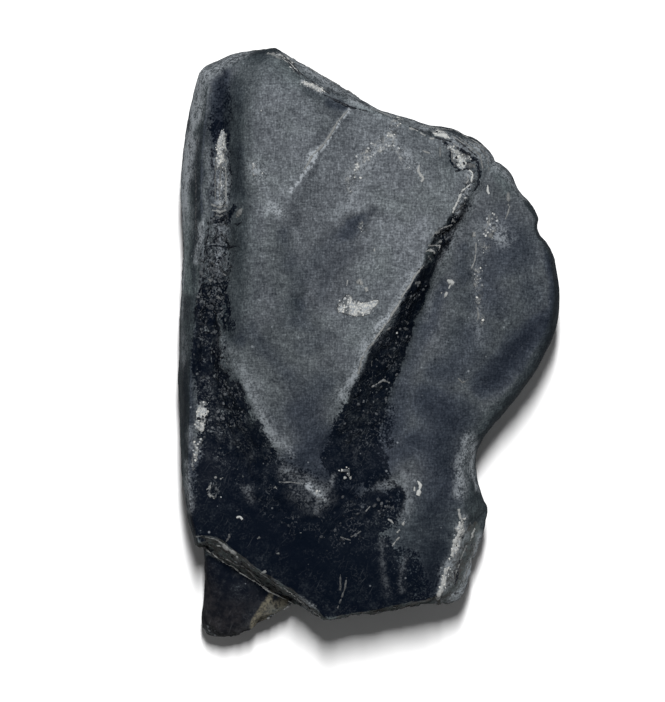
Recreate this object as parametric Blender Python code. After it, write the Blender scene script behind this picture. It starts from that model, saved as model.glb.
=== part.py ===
"""Fossil iguanodontid tooth: a worn crown on a broken stump of its root, lying on its back.

Metres, +Z up, with the ridged face on top. +Y runs from the broken root to the worn biting edge,
and +X towards the distal lobe. The origin is on the resting surface, under the outline's middle.

The tooth is one solid with a closed skin of four parts that share their rims: the ridged face, a
wall from the face's rim down to the widest outline, a wall from there in to the back's rim, and
the back. The face and the back are stiff sheets stretched over guide lines, which are the ridges,
grooves and broken edges that the tooth really has. All sizes below are in millimetres.
"""

import math

import bmesh
import bpy
import numpy as np
from mathutils import Vector, noise
from mathutils.geometry import delaunay_2d_cdt

MM = 0.001

# Driving dimensions
LENGTH = 40.0  # broken root to biting edge
WIDTH = 25.9  # mesial wall to distal lobe
THICKNESS = 13.2  # resting surface to the top of the primary ridge

# Spacing of the skin's vertices
RIM_STEP = 0.66
FACE_STEP = 0.63
BACK_STEP = 1.05
FACE_WALL_ROWS = 4
BACK_WALL_ROWS = 3
EVENING_ROUNDS = 5  # how often the sheets' loose vertices are moved to the middle of their neighbours
TENSION = 0.02  # how hard the sheets pull flat against their stiffness

# The flat worn patch that the tooth rests on: an ellipse in the back, at height 0
PAD_CENTRE = (-1.9, -1.6)
PAD_RADII = (4.4, 7.2)

# The outline, clockwise from the tip, as the sides that the tooth has. Each side gives its name,
# whether it starts at a sharp corner, its wall where it starts, and its points up to the next side.
# A wall is six values, which run evenly into the next side's: the height of the widest outline,
# how far in and how high the face's rim is, how far in and how high the back's rim is, and how
# round the wall is, from 0 for a flat break to 1.
SIDES = [
    ("biting_edge", True, (8.6, 0.4, 10.5, 0.5, 7.6, 0.3), [
        (-6.32, 20.0), (-5.44, 19.45), (-4.41, 18.83),
    ]),
    ("biting_edge_middle", False, (8.3, 0.85, 11.0, 0.5, 7.2, 0.3), [
        (-2.6, 17.78), (-1.05, 16.83), (-0.17, 16.24),
    ]),
    ("biting_step", True, (8.7, 0.2, 11.0, 0.5, 7.4, 0.3), [
        (0.51, 15.81), (1.59, 15.41), (2.8, 15.07), (4.02, 14.66), (4.83, 14.63),
    ]),
    ("chipped_corner", True, (8.6, 0.9, 10.9, 0.6, 7.3, 0.2), [
        (5.64, 14.56), (6.32, 14.19), (7.13, 13.92), (7.75, 13.48),
    ]),
    ("denticle_1", True, (8.3, 0.8, 10.3, 0.6, 7.0, 0.4), [
        (8.26, 12.7), (8.36, 12.3), (8.87, 12.1), (9.37, 11.66), (9.7, 11.05),
    ]),
    ("denticle_2", True, (8.1, 0.35, 9.9, 0.6, 6.8, 0.4), [
        (9.88, 10.5), (10.35, 9.93), (10.75, 9.33), (11.08, 8.8),
    ]),
    ("denticle_3", True, (7.8, 0.3, 9.6, 0.6, 6.5, 0.4), [
        (11.28, 8.4), (11.2, 8.05), (11.2, 7.7), (11.42, 7.25),
    ]),
    ("distal_lobe", True, (7.5, 0.4, 9.5, 0.7, 6.2, 0.6), [
        (11.85, 6.93), (12.45, 5.85), (12.8, 4.6),
    ]),
    ("lobe_turn", False, (7.2, 0.6, 9.4, 0.8, 5.8, 0.6), [
        (12.95, 3.51), (12.74, 2.03), (12.26, 0.54), (11.66, -0.74),
    ]),
    ("lobe_foot", False, (6.8, 0.8, 9.3, 0.9, 5.2, 0.6), [
        (10.91, -2.3), (10.17, -3.24), (9.36, -4.32), (8.34, -5.41),
    ]),
    ("neck", False, (6.2, 1.1, 9.2, 1.0, 4.4, 0.6), [
        (7.6, -6.35), (7.2, -7.3), (7.13, -8.31), (7.33, -9.8), (7.67, -10.74),
    ]),
    ("distal_break", True, (5.7, 1.45, 9.0, 0.9, 3.8, 0.1), [
        (7.87, -11.3), (7.65, -12.7),
    ]),
    ("distal_break_middle", False, (5.5, 2.05, 8.9, 0.9, 3.7, 0.1), [
        (7.49, -13.7), (7.2, -14.7), (6.75, -15.95), (6.5, -16.75),
    ]),
    ("distal_foot", True, (5.6, 1.7, 8.7, 0.8, 3.6, 0.1), [
        (6.2, -17.3), (5.4, -17.68), (4.85, -17.72),
    ]),
    ("root_break", False, (7.4, 0.25, 8.7, 0.9, 4.0, 0.0), [
        (3.82, -17.6), (2.26, -17.99), (0.78, -18.24), (-1.11, -18.58), (-2.4, -18.75),
    ]),
    ("slab_corner", True, (7.6, 0.25, 8.9, 1.2, 4.2, 0.0), [
        (-3.1, -18.85), (-3.75, -18.5), (-4.43, -17.98),
    ]),
    ("stump", True, (4.5, 0.2, 5.2, 0.8, 2.0, 0.3), [
        (-5.1, -17.5), (-6.05, -18.11), (-7.06, -18.78), (-8.01, -19.53), (-8.82, -19.8), (-9.76, -20.0),
    ]),
    ("stump_tip", False, (2.9, 0.5, 4.4, 0.6, 1.2, 0.7), [
        (-10.64, -19.86), (-11.18, -19.32), (-11.39, -18.51),
    ]),
    ("stump_side", False, (3.3, 0.4, 4.9, 0.6, 1.4, 0.6), [
        (-11.32, -17.3), (-11.18, -15.95), (-11.11, -14.8),
    ]),
    ("stump_notch", True, (4.0, 0.15, 5.5, 0.8, 2.2, 0.2), [
        (-11.16, -13.8),
    ]),
    ("mesial_wall", True, (4.6, 0.3, 9.3, 0.9, 2.6, 0.5), [
        (-11.7, -13.63), (-12.0, -12.57), (-12.42, -11.08), (-12.68, -9.19),
    ]),
    ("mesial_wall_middle", False, (5.0, 0.65, 9.9, 1.0, 2.8, 0.5), [
        (-12.76, -6.49), (-12.84, -4.12), (-12.95, -2.3), (-12.87, 0.27), (-12.74, 3.31),
    ]),
    ("mesial_wall_top", False, (5.0, 1.6, 11.0, 1.1, 3.0, 0.5), [
        (-12.67, 7.03), (-12.74, 9.39), (-12.6, 11.76), (-12.33, 13.92), (-12.06, 15.95), (-11.86, 17.3),
    ]),
    ("shoulder", False, (6.4, 1.0, 10.5, 0.8, 4.8, 0.5), [
        (-11.46, 18.46), (-10.36, 19.02), (-8.84, 19.58), (-7.47, 19.92),
    ]),
]

# Guide lines of the face: name, whether the face folds sharply there, and points with their heights
FACE_GUIDES = [
    ("primary_ridge", True, [
        (6.9, 11.5, 11.0), (6.4, 10.4, 11.3), (5.8, 9.5, 11.6), (5.0, 8.0, 12.0), (3.9, 6.6, 12.3),
        (3.4, 5.1, 12.6), (2.1, 2.9, 13.0), (0.2, 0.0, 13.2), (-1.1, -2.7, 12.9),
        (-1.7, -4.2, 12.4), (-2.3, -6.0, 11.7),
    ]),
    ("ridge_foot", False, [
        (7.5, 10.9, 10.3), (6.9, 9.7, 10.2), (6.1, 8.1, 10.1), (5.4, 6.5, 10.0), (4.4, 4.4, 9.9),
        (3.3, 2.0, 9.9), (2.6, -0.3, 9.9), (1.9, -2.5, 9.9), (1.2, -4.7, 9.9), (0.4, -7.2, 10.0),
    ]),
    ("mesial_groove", False, [
        (-9.2, 18.1, 10.5), (-9.8, 17.0, 10.3), (-9.9, 15.1, 10.1), (-9.9, 13.1, 10.0),
        (-9.9, 10.7, 9.9), (-10.1, 7.7, 9.8), (-10.4, 4.7, 9.8), (-10.6, 1.6, 9.7),
        (-10.6, -1.1, 9.6), (-10.3, -4.1, 9.6), (-9.9, -6.5, 9.6), (-9.5, -8.5, 9.7),
    ]),
    ("plateau_edge", False, [
        (-7.2, 18.8, 11.5), (-8.0, 17.6, 11.8), (-8.5, 15.7, 12.0), (-8.5, 13.4, 12.1),
        (-8.3, 10.9, 12.2), (-8.2, 8.4, 12.2), (-8.5, 5.5, 12.1), (-8.9, 3.0, 11.9), (-9.4, 0.9, 11.8),
    ]),
    ("tongue_lip", True, [
        (-9.6, -0.4, 11.8), (-8.9, -1.9, 12.0), (-8.3, -3.3, 12.1), (-7.6, -4.7, 12.0),
        (-7.1, -6.0, 11.8), (-6.3, -7.0, 11.5), (-5.2, -7.6, 11.2),
    ]),
    ("plateau", False, [
        (-4.6, 17.0, 12.2), (-5.3, 13.8, 12.6), (-5.8, 10.1, 12.6), (-5.7, 5.7, 12.6),
        (-4.9, 1.6, 12.6), (-4.4, -1.8, 12.2), (-4.1, -4.8, 11.7),
    ]),
    ("upper_trough", False, [
        (2.1, 10.9, 12.0), (0.2, 9.5, 11.9), (-1.5, 8.0, 11.8), (-2.6, 6.2, 11.9),
        (-3.8, 4.3, 12.1), (-4.6, 2.8, 12.1),
    ]),
    ("lower_trough", False, [
        (-3.5, 9.7, 12.3), (-4.6, 8.0, 12.25), (-5.0, 6.9, 12.3),
    ]),
    ("secondary_ridge", True, [
        (-1.6, 15.5, 11.3), (-2.4, 14.5, 11.9), (-3.3, 13.2, 12.4), (-4.0, 11.8, 12.7),
        (-4.8, 10.4, 12.8), (-5.1, 9.6, 12.7),
    ]),
    ("distal_facet", False, [
        (1.6, 13.8, 11.5), (3.8, 12.7, 11.5), (4.8, 10.8, 11.7), (3.3, 8.7, 12.2),
    ]),
    ("lobe", False, [
        (8.8, 10.5, 10.2), (9.2, 7.8, 10.3), (9.6, 5.1, 10.4), (9.1, 2.4, 10.3), (7.5, -0.1, 10.2),
        (5.8, -2.8, 10.1), (4.8, -5.5, 10.0), (4.7, -8.5, 9.8),
    ]),
    ("tertiary_ridge", False, [
        (7.3, 7.2, 10.35), (7.0, 5.0, 10.4), (6.7, 2.6, 10.4), (6.2, -0.1, 10.3),
    ]),
    ("distal_trough", False, [
        (11.4, 2.8, 9.5), (10.7, 0.6, 9.3), (9.5, -1.2, 9.3), (8.1, -2.8, 9.35),
    ]),
    ("root_hump", False, [
        (-4.6, -9.1, 10.7), (-3.4, -9.3, 10.9), (-2.3, -9.7, 10.6),
    ]),
    ("root_face", False, [
        (-8.3, -10.0, 10.1), (-7.2, -12.6, 9.7), (-4.6, -14.9, 9.7), (-1.9, -15.9, 9.6),
        (1.4, -15.4, 9.5), (3.8, -14.6, 9.2),
    ]),
    ("hollow_rim", True, [
        (1.1, -8.8, 10.2), (1.9, -8.5, 10.3), (2.6, -8.9, 10.25), (2.8, -10.0, 10.1),
        (2.7, -11.6, 9.9), (2.7, -13.2, 9.7),
    ]),
    ("hollow", False, [
        (1.6, -9.9, 9.5), (1.4, -11.2, 9.4),
    ]),
    ("slab_edge", True, [
        (-11.3, -12.95, 9.4), (-10.67, -12.95, 9.4), (-10.07, -13.17, 9.35), (-9.4, -13.62, 9.3),
        (-8.8, -14.2, 9.3), (-7.89, -14.95, 9.2), (-7.14, -15.5, 9.15), (-6.02, -16.15, 9.1),
        (-5.19, -16.68, 9.0), (-4.5, -17.2, 9.0), (-3.85, -17.85, 8.9), (-3.15, -18.5, 8.9),
    ]),
    ("upper_flake", True, [
        (-10.75, -13.32, 8.5), (-9.95, -13.78, 8.3), (-9.25, -14.3, 8.3), (-8.45, -14.95, 8.4),
        (-7.6, -15.5, 8.3), (-6.75, -16.02, 8.4), (-5.9, -16.48, 8.3), (-5.1, -16.95, 8.2),
        (-4.4, -17.52, 7.9),
    ]),
    ("lower_flake", True, [
        (-10.75, -13.7, 7.0), (-10.1, -14.1, 6.9), (-9.3, -14.68, 6.7), (-8.5, -15.3, 6.8),
        (-7.6, -15.9, 6.6), (-6.75, -16.35, 6.7), (-5.95, -16.75, 6.7), (-5.2, -17.1, 6.7),
    ]),
    ("slab_foot", True, [
        (-10.75, -14.15, 5.7), (-10.0, -14.72, 5.6), (-9.17, -15.25, 5.6), (-8.3, -15.85, 5.5),
        (-7.14, -16.45, 5.4), (-6.4, -16.82, 5.3), (-5.35, -17.3, 5.3),
    ]),
    ("stump_face", False, [
        (-10.2, -15.9, 5.5), (-10.0, -17.6, 5.2), (-9.6, -19.2, 4.7),
    ]),
    ("stump_facet", True, [
        (-7.2, -17.0, 5.3), (-7.3, -17.5, 5.2), (-7.7, -18.3, 4.9), (-8.1, -18.9, 4.6),
    ]),
]

# Guide lines of the back. The wear facet is the plane that chewing ground there, from the biting
# edge down to the facet's foot.
BACK_GUIDES = [
    ("facet_foot", True, [
        (-10.4, 6.6, 2.4), (-7.0, 5.2, 1.0), (-3.0, 4.9, 0.5), (1.5, 5.4, 0.8), (5.5, 6.3, 2.4),
        (8.6, 7.0, 4.4),
    ]),
    ("facet_left", False, [
        (-9.8, 15.0, 4.9), (-8.8, 10.8, 2.8),
    ]),
    ("facet_middle", False, [
        (-4.6, 17.0, 6.4), (-4.0, 13.0, 4.1), (-3.6, 9.0, 2.0),
    ]),
    ("facet_right", False, [
        (5.2, 12.4, 5.9), (4.2, 9.2, 3.6),
    ]),
    ("lobe_back", False, [
        (9.6, 3.0, 4.6), (7.6, -1.6, 3.0), (5.2, -6.2, 1.5),
    ]),
    ("root_back", False, [
        (-6.6, -12.6, 0.35), (-1.6, -13.4, 0.6), (3.6, -13.0, 1.4),
    ]),
]

# Dents and lumps of the face: centre, radius, and depth, which is below 0 for a lump
DENTS = [
    (6.1, 12.4, 1.0, 0.45),
    (7.1, 12.1, 0.9, 0.35),
    (5.2, 13.2, 1.0, 0.3),
    (7.3, 12.9, 0.9, 0.25),
    (-4.5, 2.6, 1.1, 0.25),
    (-1.6, 7.9, 1.4, 0.2),
    (-9.7, 9.1, 1.1, -0.35),
    (-9.8, 6.6, 1.2, 0.3),
    (-9.9, 3.9, 1.3, -0.25),
    (5.3, 8.4, 0.9, -0.25),
    (4.4, 7.2, 0.9, -0.25),
    (-2.2, -8.3, 1.1, -0.2),
    (-6.2, -11.3, 1.6, 0.25),
    (-8.6, -7.6, 1.4, 0.3),
    (2.9, -15.9, 1.2, -0.2),
]

SWELL = 0.09  # height of the broad unevenness of the whole skin
WALL_SWELL = 0.12  # how much higher it is on the walls
SWELL_SIZE = 3.6
BREAK_ROUGHNESS = 0.22  # height of the grain of the broken surfaces
BREAK_GRAIN = 0.9
BREAK_BELOW_Y = -11.0  # the broken surfaces are the walls of the root end


def smooth_path(points, step):
    """Points about a step apart along a Catmull-Rom curve through the given ones, ends included."""
    points = np.asarray(points, float)
    ends = np.vstack([2 * points[0] - points[1], points, 2 * points[-1] - points[-2]])
    path = [points[:1]]
    for i in range(len(points) - 1):
        before, start, end, after = ends[i : i + 4]
        count = max(1, round(float(np.linalg.norm((end - start)[:2])) / step))
        t = (np.arange(1, count + 1) / count)[:, None]
        path.append(
            0.5 * (
                2 * start + (end - before) * t
                + (2 * before - 5 * start + 4 * end - after) * t**2
                + (3 * start - before - 3 * end + after) * t**3
            )
        )
    return np.vstack(path)


def rim_stations():
    """The outline's stations, evenly spaced: rows of x, y and the six wall values."""
    corners, rows = [], []
    for i, (_, corner, wall, points) in enumerate(SIDES):
        next_wall, next_points = SIDES[(i + 1) % len(SIDES)][2:]
        run = np.array([*points, next_points[0]])
        along = np.concatenate([[0], np.cumsum(np.linalg.norm(np.diff(run, axis=0), axis=1))])
        share = (along / along[-1])[:-1, None]
        if corner:
            corners.append(len(rows))
        rows += list(np.hstack([run[:-1], (1 - share) * np.array(wall) + share * np.array(next_wall)]))
    rows = np.array([*rows, rows[0]])
    spans = zip(corners, [*corners[1:], len(rows) - 1])
    return np.vstack([smooth_path(rows[a : b + 1], RIM_STEP)[:-1] for a, b in spans])


def inward(loop, reach):
    """The inward normals of a clockwise loop, each over its neighbours up to reach stations away."""
    along = sum(np.roll(loop, -k, axis=0) - np.roll(loop, k, axis=0) for k in range(1, reach + 1))
    normals = np.stack([along[:, 1], -along[:, 0]], axis=1)
    return normals / np.linalg.norm(normals, axis=1)[:, None]


def rims(stations):
    """The loops of the face's rim, the widest outline and the back's rim, and the walls' roundness."""
    outline = stations[:, :2]
    widest_z, face_in, face_z, back_in, back_z, roundness = stations[:, 2:].T
    face = outline + inward(outline, 2) * face_in[:, None]
    back = outline + inward(outline, 4) * back_in[:, None]
    return (
        np.column_stack([face, face_z]),
        np.column_stack([outline, widest_z]),
        np.column_stack([back, back_z]),
        roundness,
    )


def wall_rows(rim, widest, roundness, count):
    """The loops between a rim and the widest outline.

    A round wall leaves its rim flat and meets the outline upright, and a flat one runs straight.
    """
    across = (widest - rim) * (1, 1, 0)
    upright = (rim - widest) * (0, 0, 1)
    edge = roundness[:, None]
    belly = np.minimum(1.0, 2.5 * edge)
    leave = rim + (1 - edge) * (widest - rim) / 3 + edge * 0.55 * across
    meet = widest + (1 - belly) * (rim - widest) / 3 + belly * 0.55 * upright
    rows = []
    for k in range(1, count):
        t = k / count
        u = 1 - t
        rows.append(u**3 * rim + 3 * u**2 * t * leave + 3 * u * t**2 * meet + t**3 * widest)
    return rows


def staggered_grid(low, high, step):
    """A grid of points in which every other row is shifted by half a step."""
    points = []
    for row, y in enumerate(np.arange(low[1], high[1], step * math.sqrt(3) / 2)):
        xs = np.arange(low[0] + (row % 2) * step / 2, high[0], step)
        points.append(np.column_stack([xs, np.full(len(xs), y)]))
    return np.vstack(points)


def far_from(points, others, distance):
    gaps = ((points[:, None, :] - others[None, :, :]) ** 2).sum(axis=2)
    return points[gaps.min(axis=1) > distance**2]


def edge_weights(points, triangles):
    """The edges of a flat triangle mesh with cotangent weights, and the area round each vertex."""
    starts, ends, weights = [], [], []
    area = np.zeros(len(points))
    for turn in range(3):
        a, b, c = (triangles[:, (turn + k) % 3] for k in range(3))
        u, v = points[a] - points[c], points[b] - points[c]
        cross = np.maximum(np.abs(u[:, 0] * v[:, 1] - u[:, 1] * v[:, 0]), 1e-9)
        starts += [a, b]
        ends += [b, a]
        weights += [0.5 * (u * v).sum(axis=1) / cross] * 2
        area += np.bincount(c, cross / 6, len(points))
    return np.concatenate(starts), np.concatenate(ends), np.concatenate(weights), area


def least_bending(points, triangles, heights, fixed, folded):
    """The heights that bend the sheet least, by conjugate gradients. Folded vertices bend freely."""
    starts, ends, weights, area = edge_weights(points, triangles)
    stiffness = np.where(folded, 0.0, 1 / area)
    count = len(points)

    def curvature(values):
        return np.bincount(starts, weights * (values[ends] - values[starts]), count)

    def force(values):
        bent = curvature(values)
        return np.where(fixed, 0.0, curvature(stiffness * bent) - TENSION * bent)

    diagonal = np.bincount(starts, weights, count)
    scale = diagonal**2 * stiffness + TENSION * diagonal
    scale += np.bincount(starts, weights**2 * stiffness[ends], count)
    heights = heights.copy()
    residual = -force(heights)
    first = np.abs(residual).max()
    direction = step = residual / scale
    for _ in range(20000):
        if np.abs(residual).max() < 1e-7 * first:
            break
        pull = force(direction)
        gain = (residual * step).sum()
        length = gain / (direction * pull).sum()
        heights += length * direction
        residual = residual - length * pull
        step = residual / scale
        direction = step + (residual * step).sum() / gain * direction
    return heights


def triangulated(flat, edges, rim_count):
    """The points inside the rim with their places in the given list, the triangles and their sides."""
    vectors = [Vector(p) for p in flat]
    made, _, triangles, origins, _, _ = delaunay_2d_cdt(vectors, edges, [], 1, 1e-5)
    triangles = np.array(triangles)
    given = np.array([min(origin) if origin else len(flat) for origin in origins])
    used = np.zeros(len(given), bool)
    used[triangles.ravel()] = True
    order = np.argsort(np.where(used, given, 2 * len(flat)), kind="stable")[: used.sum()]
    place = np.empty(len(given), int)
    place[order] = np.arange(len(order))
    triangles = place[triangles]
    sides = np.vstack([triangles[:, [0, 1]], triangles[:, [1, 2]], triangles[:, [2, 0]]])
    sides.sort(axis=1)
    outer = (np.unique(sides, axis=0, return_counts=True)[1] == 1).sum()
    if outer != rim_count or not np.array_equal(given[order][:rim_count], np.arange(rim_count)):
        raise ValueError("the rim crosses itself or a guide")
    return np.array([made[i][:] for i in order]), given[order], triangles, sides


def joined_to_rim(line, rim, reach):
    """A guide's samples without those too near the rim. An end that comes near is moved onto it."""
    gaps = np.linalg.norm(line[:, None, :2] - rim[None, :, :2], axis=2)
    keep = gaps.min(axis=1) > 0.5 * reach
    kept = line[keep]
    for end in (0, -1):
        nearest = gaps[end].argmin()
        if gaps[end, nearest] < reach:
            kept = np.insert(kept, 0 if end == 0 else len(kept), rim[nearest], axis=0)
    return kept


def stretched_sheet(rim, guides, step, pinned=None):
    """A sheet inside a rim that bends as little as it can while it passes through the guide lines.

    Returns its points, the rim's first, and its triangles. pinned(xy) tells which points lie flat
    at height 0.
    """
    known = rim
    edges = [(i, (i + 1) % len(rim)) for i in range(len(rim))]
    folded = list(range(len(rim)))
    for _, folds, points in guides:
        line = joined_to_rim(smooth_path(points, step), rim, step)
        places = list(range(len(known), len(known) + len(line)))
        edges += zip(places, places[1:])
        folded += places if folds else []
        known = np.vstack([known, line])
    grid = staggered_grid(rim[:, :2].min(axis=0), rim[:, :2].max(axis=0), step)
    loose = far_from(grid, known[:, :2], 0.6 * step)
    for _ in range(EVENING_ROUNDS):
        flat = np.vstack([known[:, :2], loose])
        points, given, triangles, sides = triangulated(flat, edges, len(rim))
        starts, ends = np.vstack([sides, sides[:, ::-1]]).T
        count = np.bincount(starts)
        means = [np.bincount(starts, points[ends, axis]) / count for axis in (0, 1)]
        loose = np.column_stack(means)[given >= len(known)]

    flat = np.vstack([known[:, :2], loose])
    points, given, triangles, _ = triangulated(flat, edges, len(rim))
    fixed = given < len(known)
    heights = np.full(len(points), known[:, 2].mean())
    heights[fixed] = known[given[fixed], 2]
    if pinned is not None:
        flat_here = pinned(points) & (given >= len(rim))
        heights[flat_here] = 0.0
        fixed |= flat_here
    heights = least_bending(points, triangles, heights, fixed, np.isin(given, folded))
    return np.column_stack([points, heights]), triangles


def dented(points):
    """The face's points with the dents and lumps pressed in."""
    points = points.copy()
    for x, y, radius, depth in DENTS:
        nearness = 1 - ((points[:, :2] - (x, y)) ** 2).sum(axis=1) / radius**2
        points[:, 2] -= depth * np.clip(nearness, 0, 1) ** 1.5
    return points


def on_pad(xy):
    return (((xy - PAD_CENTRE) / PAD_RADII) ** 2).sum(axis=1) < 1


def rough_skin(bm):
    """Moves the skin in and out: broadly, more so on the walls, and in a finer grain on the breaks."""
    bm.normal_update()
    moves = []
    for vertex in bm.verts:
        place, normal = vertex.co.copy(), vertex.normal.copy()
        if place.z < 1e-6:
            continue
        steep = min(1.0, max(0.0, 1.6 * (1 - abs(normal.z))))
        broken = steep * min(1.0, max(0.0, BREAK_BELOW_Y - place.y))
        push = (SWELL + WALL_SWELL * steep) * noise.fractal(place / SWELL_SIZE, 1.0, 2.0, 3)
        push += BREAK_ROUGHNESS * broken * noise.fractal(place / BREAK_GRAIN, 1.0, 2.0, 2)
        moves.append((vertex, normal * push))
    for vertex, move in moves:
        vertex.co += move
        vertex.co.z = max(vertex.co.z, 0.0)


def fitted(bm):
    """Brings the skin to the driving dimensions, centred on the origin and resting at height 0."""
    points = np.array([vertex.co[:] for vertex in bm.verts])
    low, high = points.min(axis=0), points.max(axis=0)
    middle = Vector(((low[0] + high[0]) / 2, (low[1] + high[1]) / 2, 0.0))
    scale = [size / span for size, span in zip((WIDTH, LENGTH, THICKNESS), high - low)]
    for vertex in bm.verts:
        vertex.co = Vector([(c - m) * s * MM for c, m, s in zip(vertex.co, middle, scale)])


def bridge(bm, upper, lower):
    """The triangles between two loops of the same length, split along the shorter diagonal."""
    for i in range(len(upper)):
        a, b = upper[i], upper[(i + 1) % len(upper)]
        c, d = lower[(i + 1) % len(lower)], lower[i]
        if (a.co - c.co).length < (b.co - d.co).length:
            corners = ((a, b, c), (a, c, d))
        else:
            corners = ((a, b, d), (b, c, d))
        for triangle in corners:
            bm.faces.new(triangle)


def tooth_mesh():
    face_rim, widest, back_rim, roundness = rims(rim_stations())
    face, face_triangles = stretched_sheet(face_rim, FACE_GUIDES, FACE_STEP)
    back, back_triangles = stretched_sheet(back_rim, BACK_GUIDES, BACK_STEP, on_pad)
    count = len(face_rim)

    bm = bmesh.new()
    face_verts = [bm.verts.new(p) for p in dented(face)]
    back_verts = [bm.verts.new((x, y, max(z, 0.0))) for x, y, z in back]
    loops = [face_verts[:count]]
    rows = wall_rows(face_rim, widest, roundness, FACE_WALL_ROWS)
    rows += [widest]
    rows += wall_rows(back_rim, widest, roundness, BACK_WALL_ROWS)[::-1]
    loops += [[bm.verts.new(p) for p in row] for row in rows]
    loops += [back_verts[:count]]
    for upper, lower in zip(loops, loops[1:]):
        bridge(bm, upper, lower)
    for verts, triangles in ((face_verts, face_triangles), (back_verts, back_triangles)):
        for triangle in triangles:
            bm.faces.new([verts[i] for i in triangle])
    bmesh.ops.recalc_face_normals(bm, faces=bm.faces)
    rough_skin(bm)
    fitted(bm)
    mesh = bpy.data.meshes.new("tooth")
    bm.to_mesh(mesh)
    bm.free()
    return mesh


def fossil_enamel():
    material = bpy.data.materials.new("fossil_enamel")
    material.use_nodes = True
    shader = material.node_tree.nodes["Principled BSDF"]
    shader.inputs["Base Color"].default_value = (0.030, 0.034, 0.040, 1.0)
    shader.inputs["Roughness"].default_value = 0.45
    shader.inputs["Metallic"].default_value = 0.0
    return material


for old in list(bpy.data.objects):
    bpy.data.objects.remove(old)

mesh = tooth_mesh()
mesh.materials.append(fossil_enamel())
mesh.shade_smooth()
mesh.set_sharp_from_angle(angle=math.radians(38))
tooth = bpy.data.objects.new("tooth", mesh)
bpy.context.scene.collection.objects.link(tooth)
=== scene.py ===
import math

import bmesh
import bpy
import numpy as np
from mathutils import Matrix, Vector, noise


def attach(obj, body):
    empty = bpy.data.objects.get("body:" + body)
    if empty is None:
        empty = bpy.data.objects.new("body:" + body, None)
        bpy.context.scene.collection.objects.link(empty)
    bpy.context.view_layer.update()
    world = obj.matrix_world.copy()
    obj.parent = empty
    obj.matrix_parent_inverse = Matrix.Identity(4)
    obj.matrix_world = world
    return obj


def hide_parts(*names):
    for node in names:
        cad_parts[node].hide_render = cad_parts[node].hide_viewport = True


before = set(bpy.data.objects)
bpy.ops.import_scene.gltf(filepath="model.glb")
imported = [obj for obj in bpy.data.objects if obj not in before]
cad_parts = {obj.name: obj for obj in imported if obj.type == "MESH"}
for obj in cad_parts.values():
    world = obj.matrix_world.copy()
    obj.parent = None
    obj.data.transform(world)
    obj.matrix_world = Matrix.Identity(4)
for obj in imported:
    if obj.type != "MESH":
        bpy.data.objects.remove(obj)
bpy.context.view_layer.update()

MM = 0.001


# The skin of the tooth: enamel over dentine, turned to stone, one surface all round. It grew as
# a ridged crown, was ground by chewing, broke off its root and was rubbed smooth in the ground.
# The faceted solid is rounded off here, but its folds and breaks stay crisp.
ROUNDING_LEVELS = 2
SOFT_FOLD = math.radians(32)  # a fold under this angle is rounded off
SHARP_FOLD = math.radians(75)  # a fold over this angle stays sharp
SAME_CORNER = 0.002 * MM  # corners of the solid's facets that lie this close are one


def placed(name, data):
    piece = bpy.data.objects.new(name, data)
    bpy.context.scene.collection.objects.link(piece)
    return piece


def plain_mesh(piece, name):
    """The piece's mesh with its modifiers applied. They are then taken off the piece."""
    graph = bpy.context.evaluated_depsgraph_get()
    mesh = bpy.data.meshes.new_from_object(piece.evaluated_get(graph), depsgraph=graph)
    mesh.name = name
    piece.modifiers.clear()
    return mesh


def rounded_copy(node, name):
    """A copy of a CAD node with its doubles merged and its facets rounded off between its folds."""
    bm = bmesh.new()
    bm.from_mesh(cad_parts[node].data)
    bmesh.ops.remove_doubles(bm, verts=bm.verts, dist=SAME_CORNER)
    crease = bm.edges.layers.float.new("crease_edge")
    for edge in bm.edges:
        fold = edge.calc_face_angle(0.0)
        edge[crease] = min(1.0, max(0.0, (fold - SOFT_FOLD) / (SHARP_FOLD - SOFT_FOLD)))
    piece = placed(name, bpy.data.meshes.new(name))
    bm.to_mesh(piece.data)
    bm.free()
    rounding = piece.modifiers.new("rounding", "SUBSURF")
    rounding.levels = rounding.render_levels = ROUNDING_LEVELS
    piece.data = plain_mesh(piece, name)
    return piece


skin = rounded_copy("tooth", "tooth_skin")

# What time left on the skin. Each mark is a set of strokes on the upper side, drawn along the
# feature that carries it: a name, how strong it is, and points (x, y, radius) in millimetres.

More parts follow.
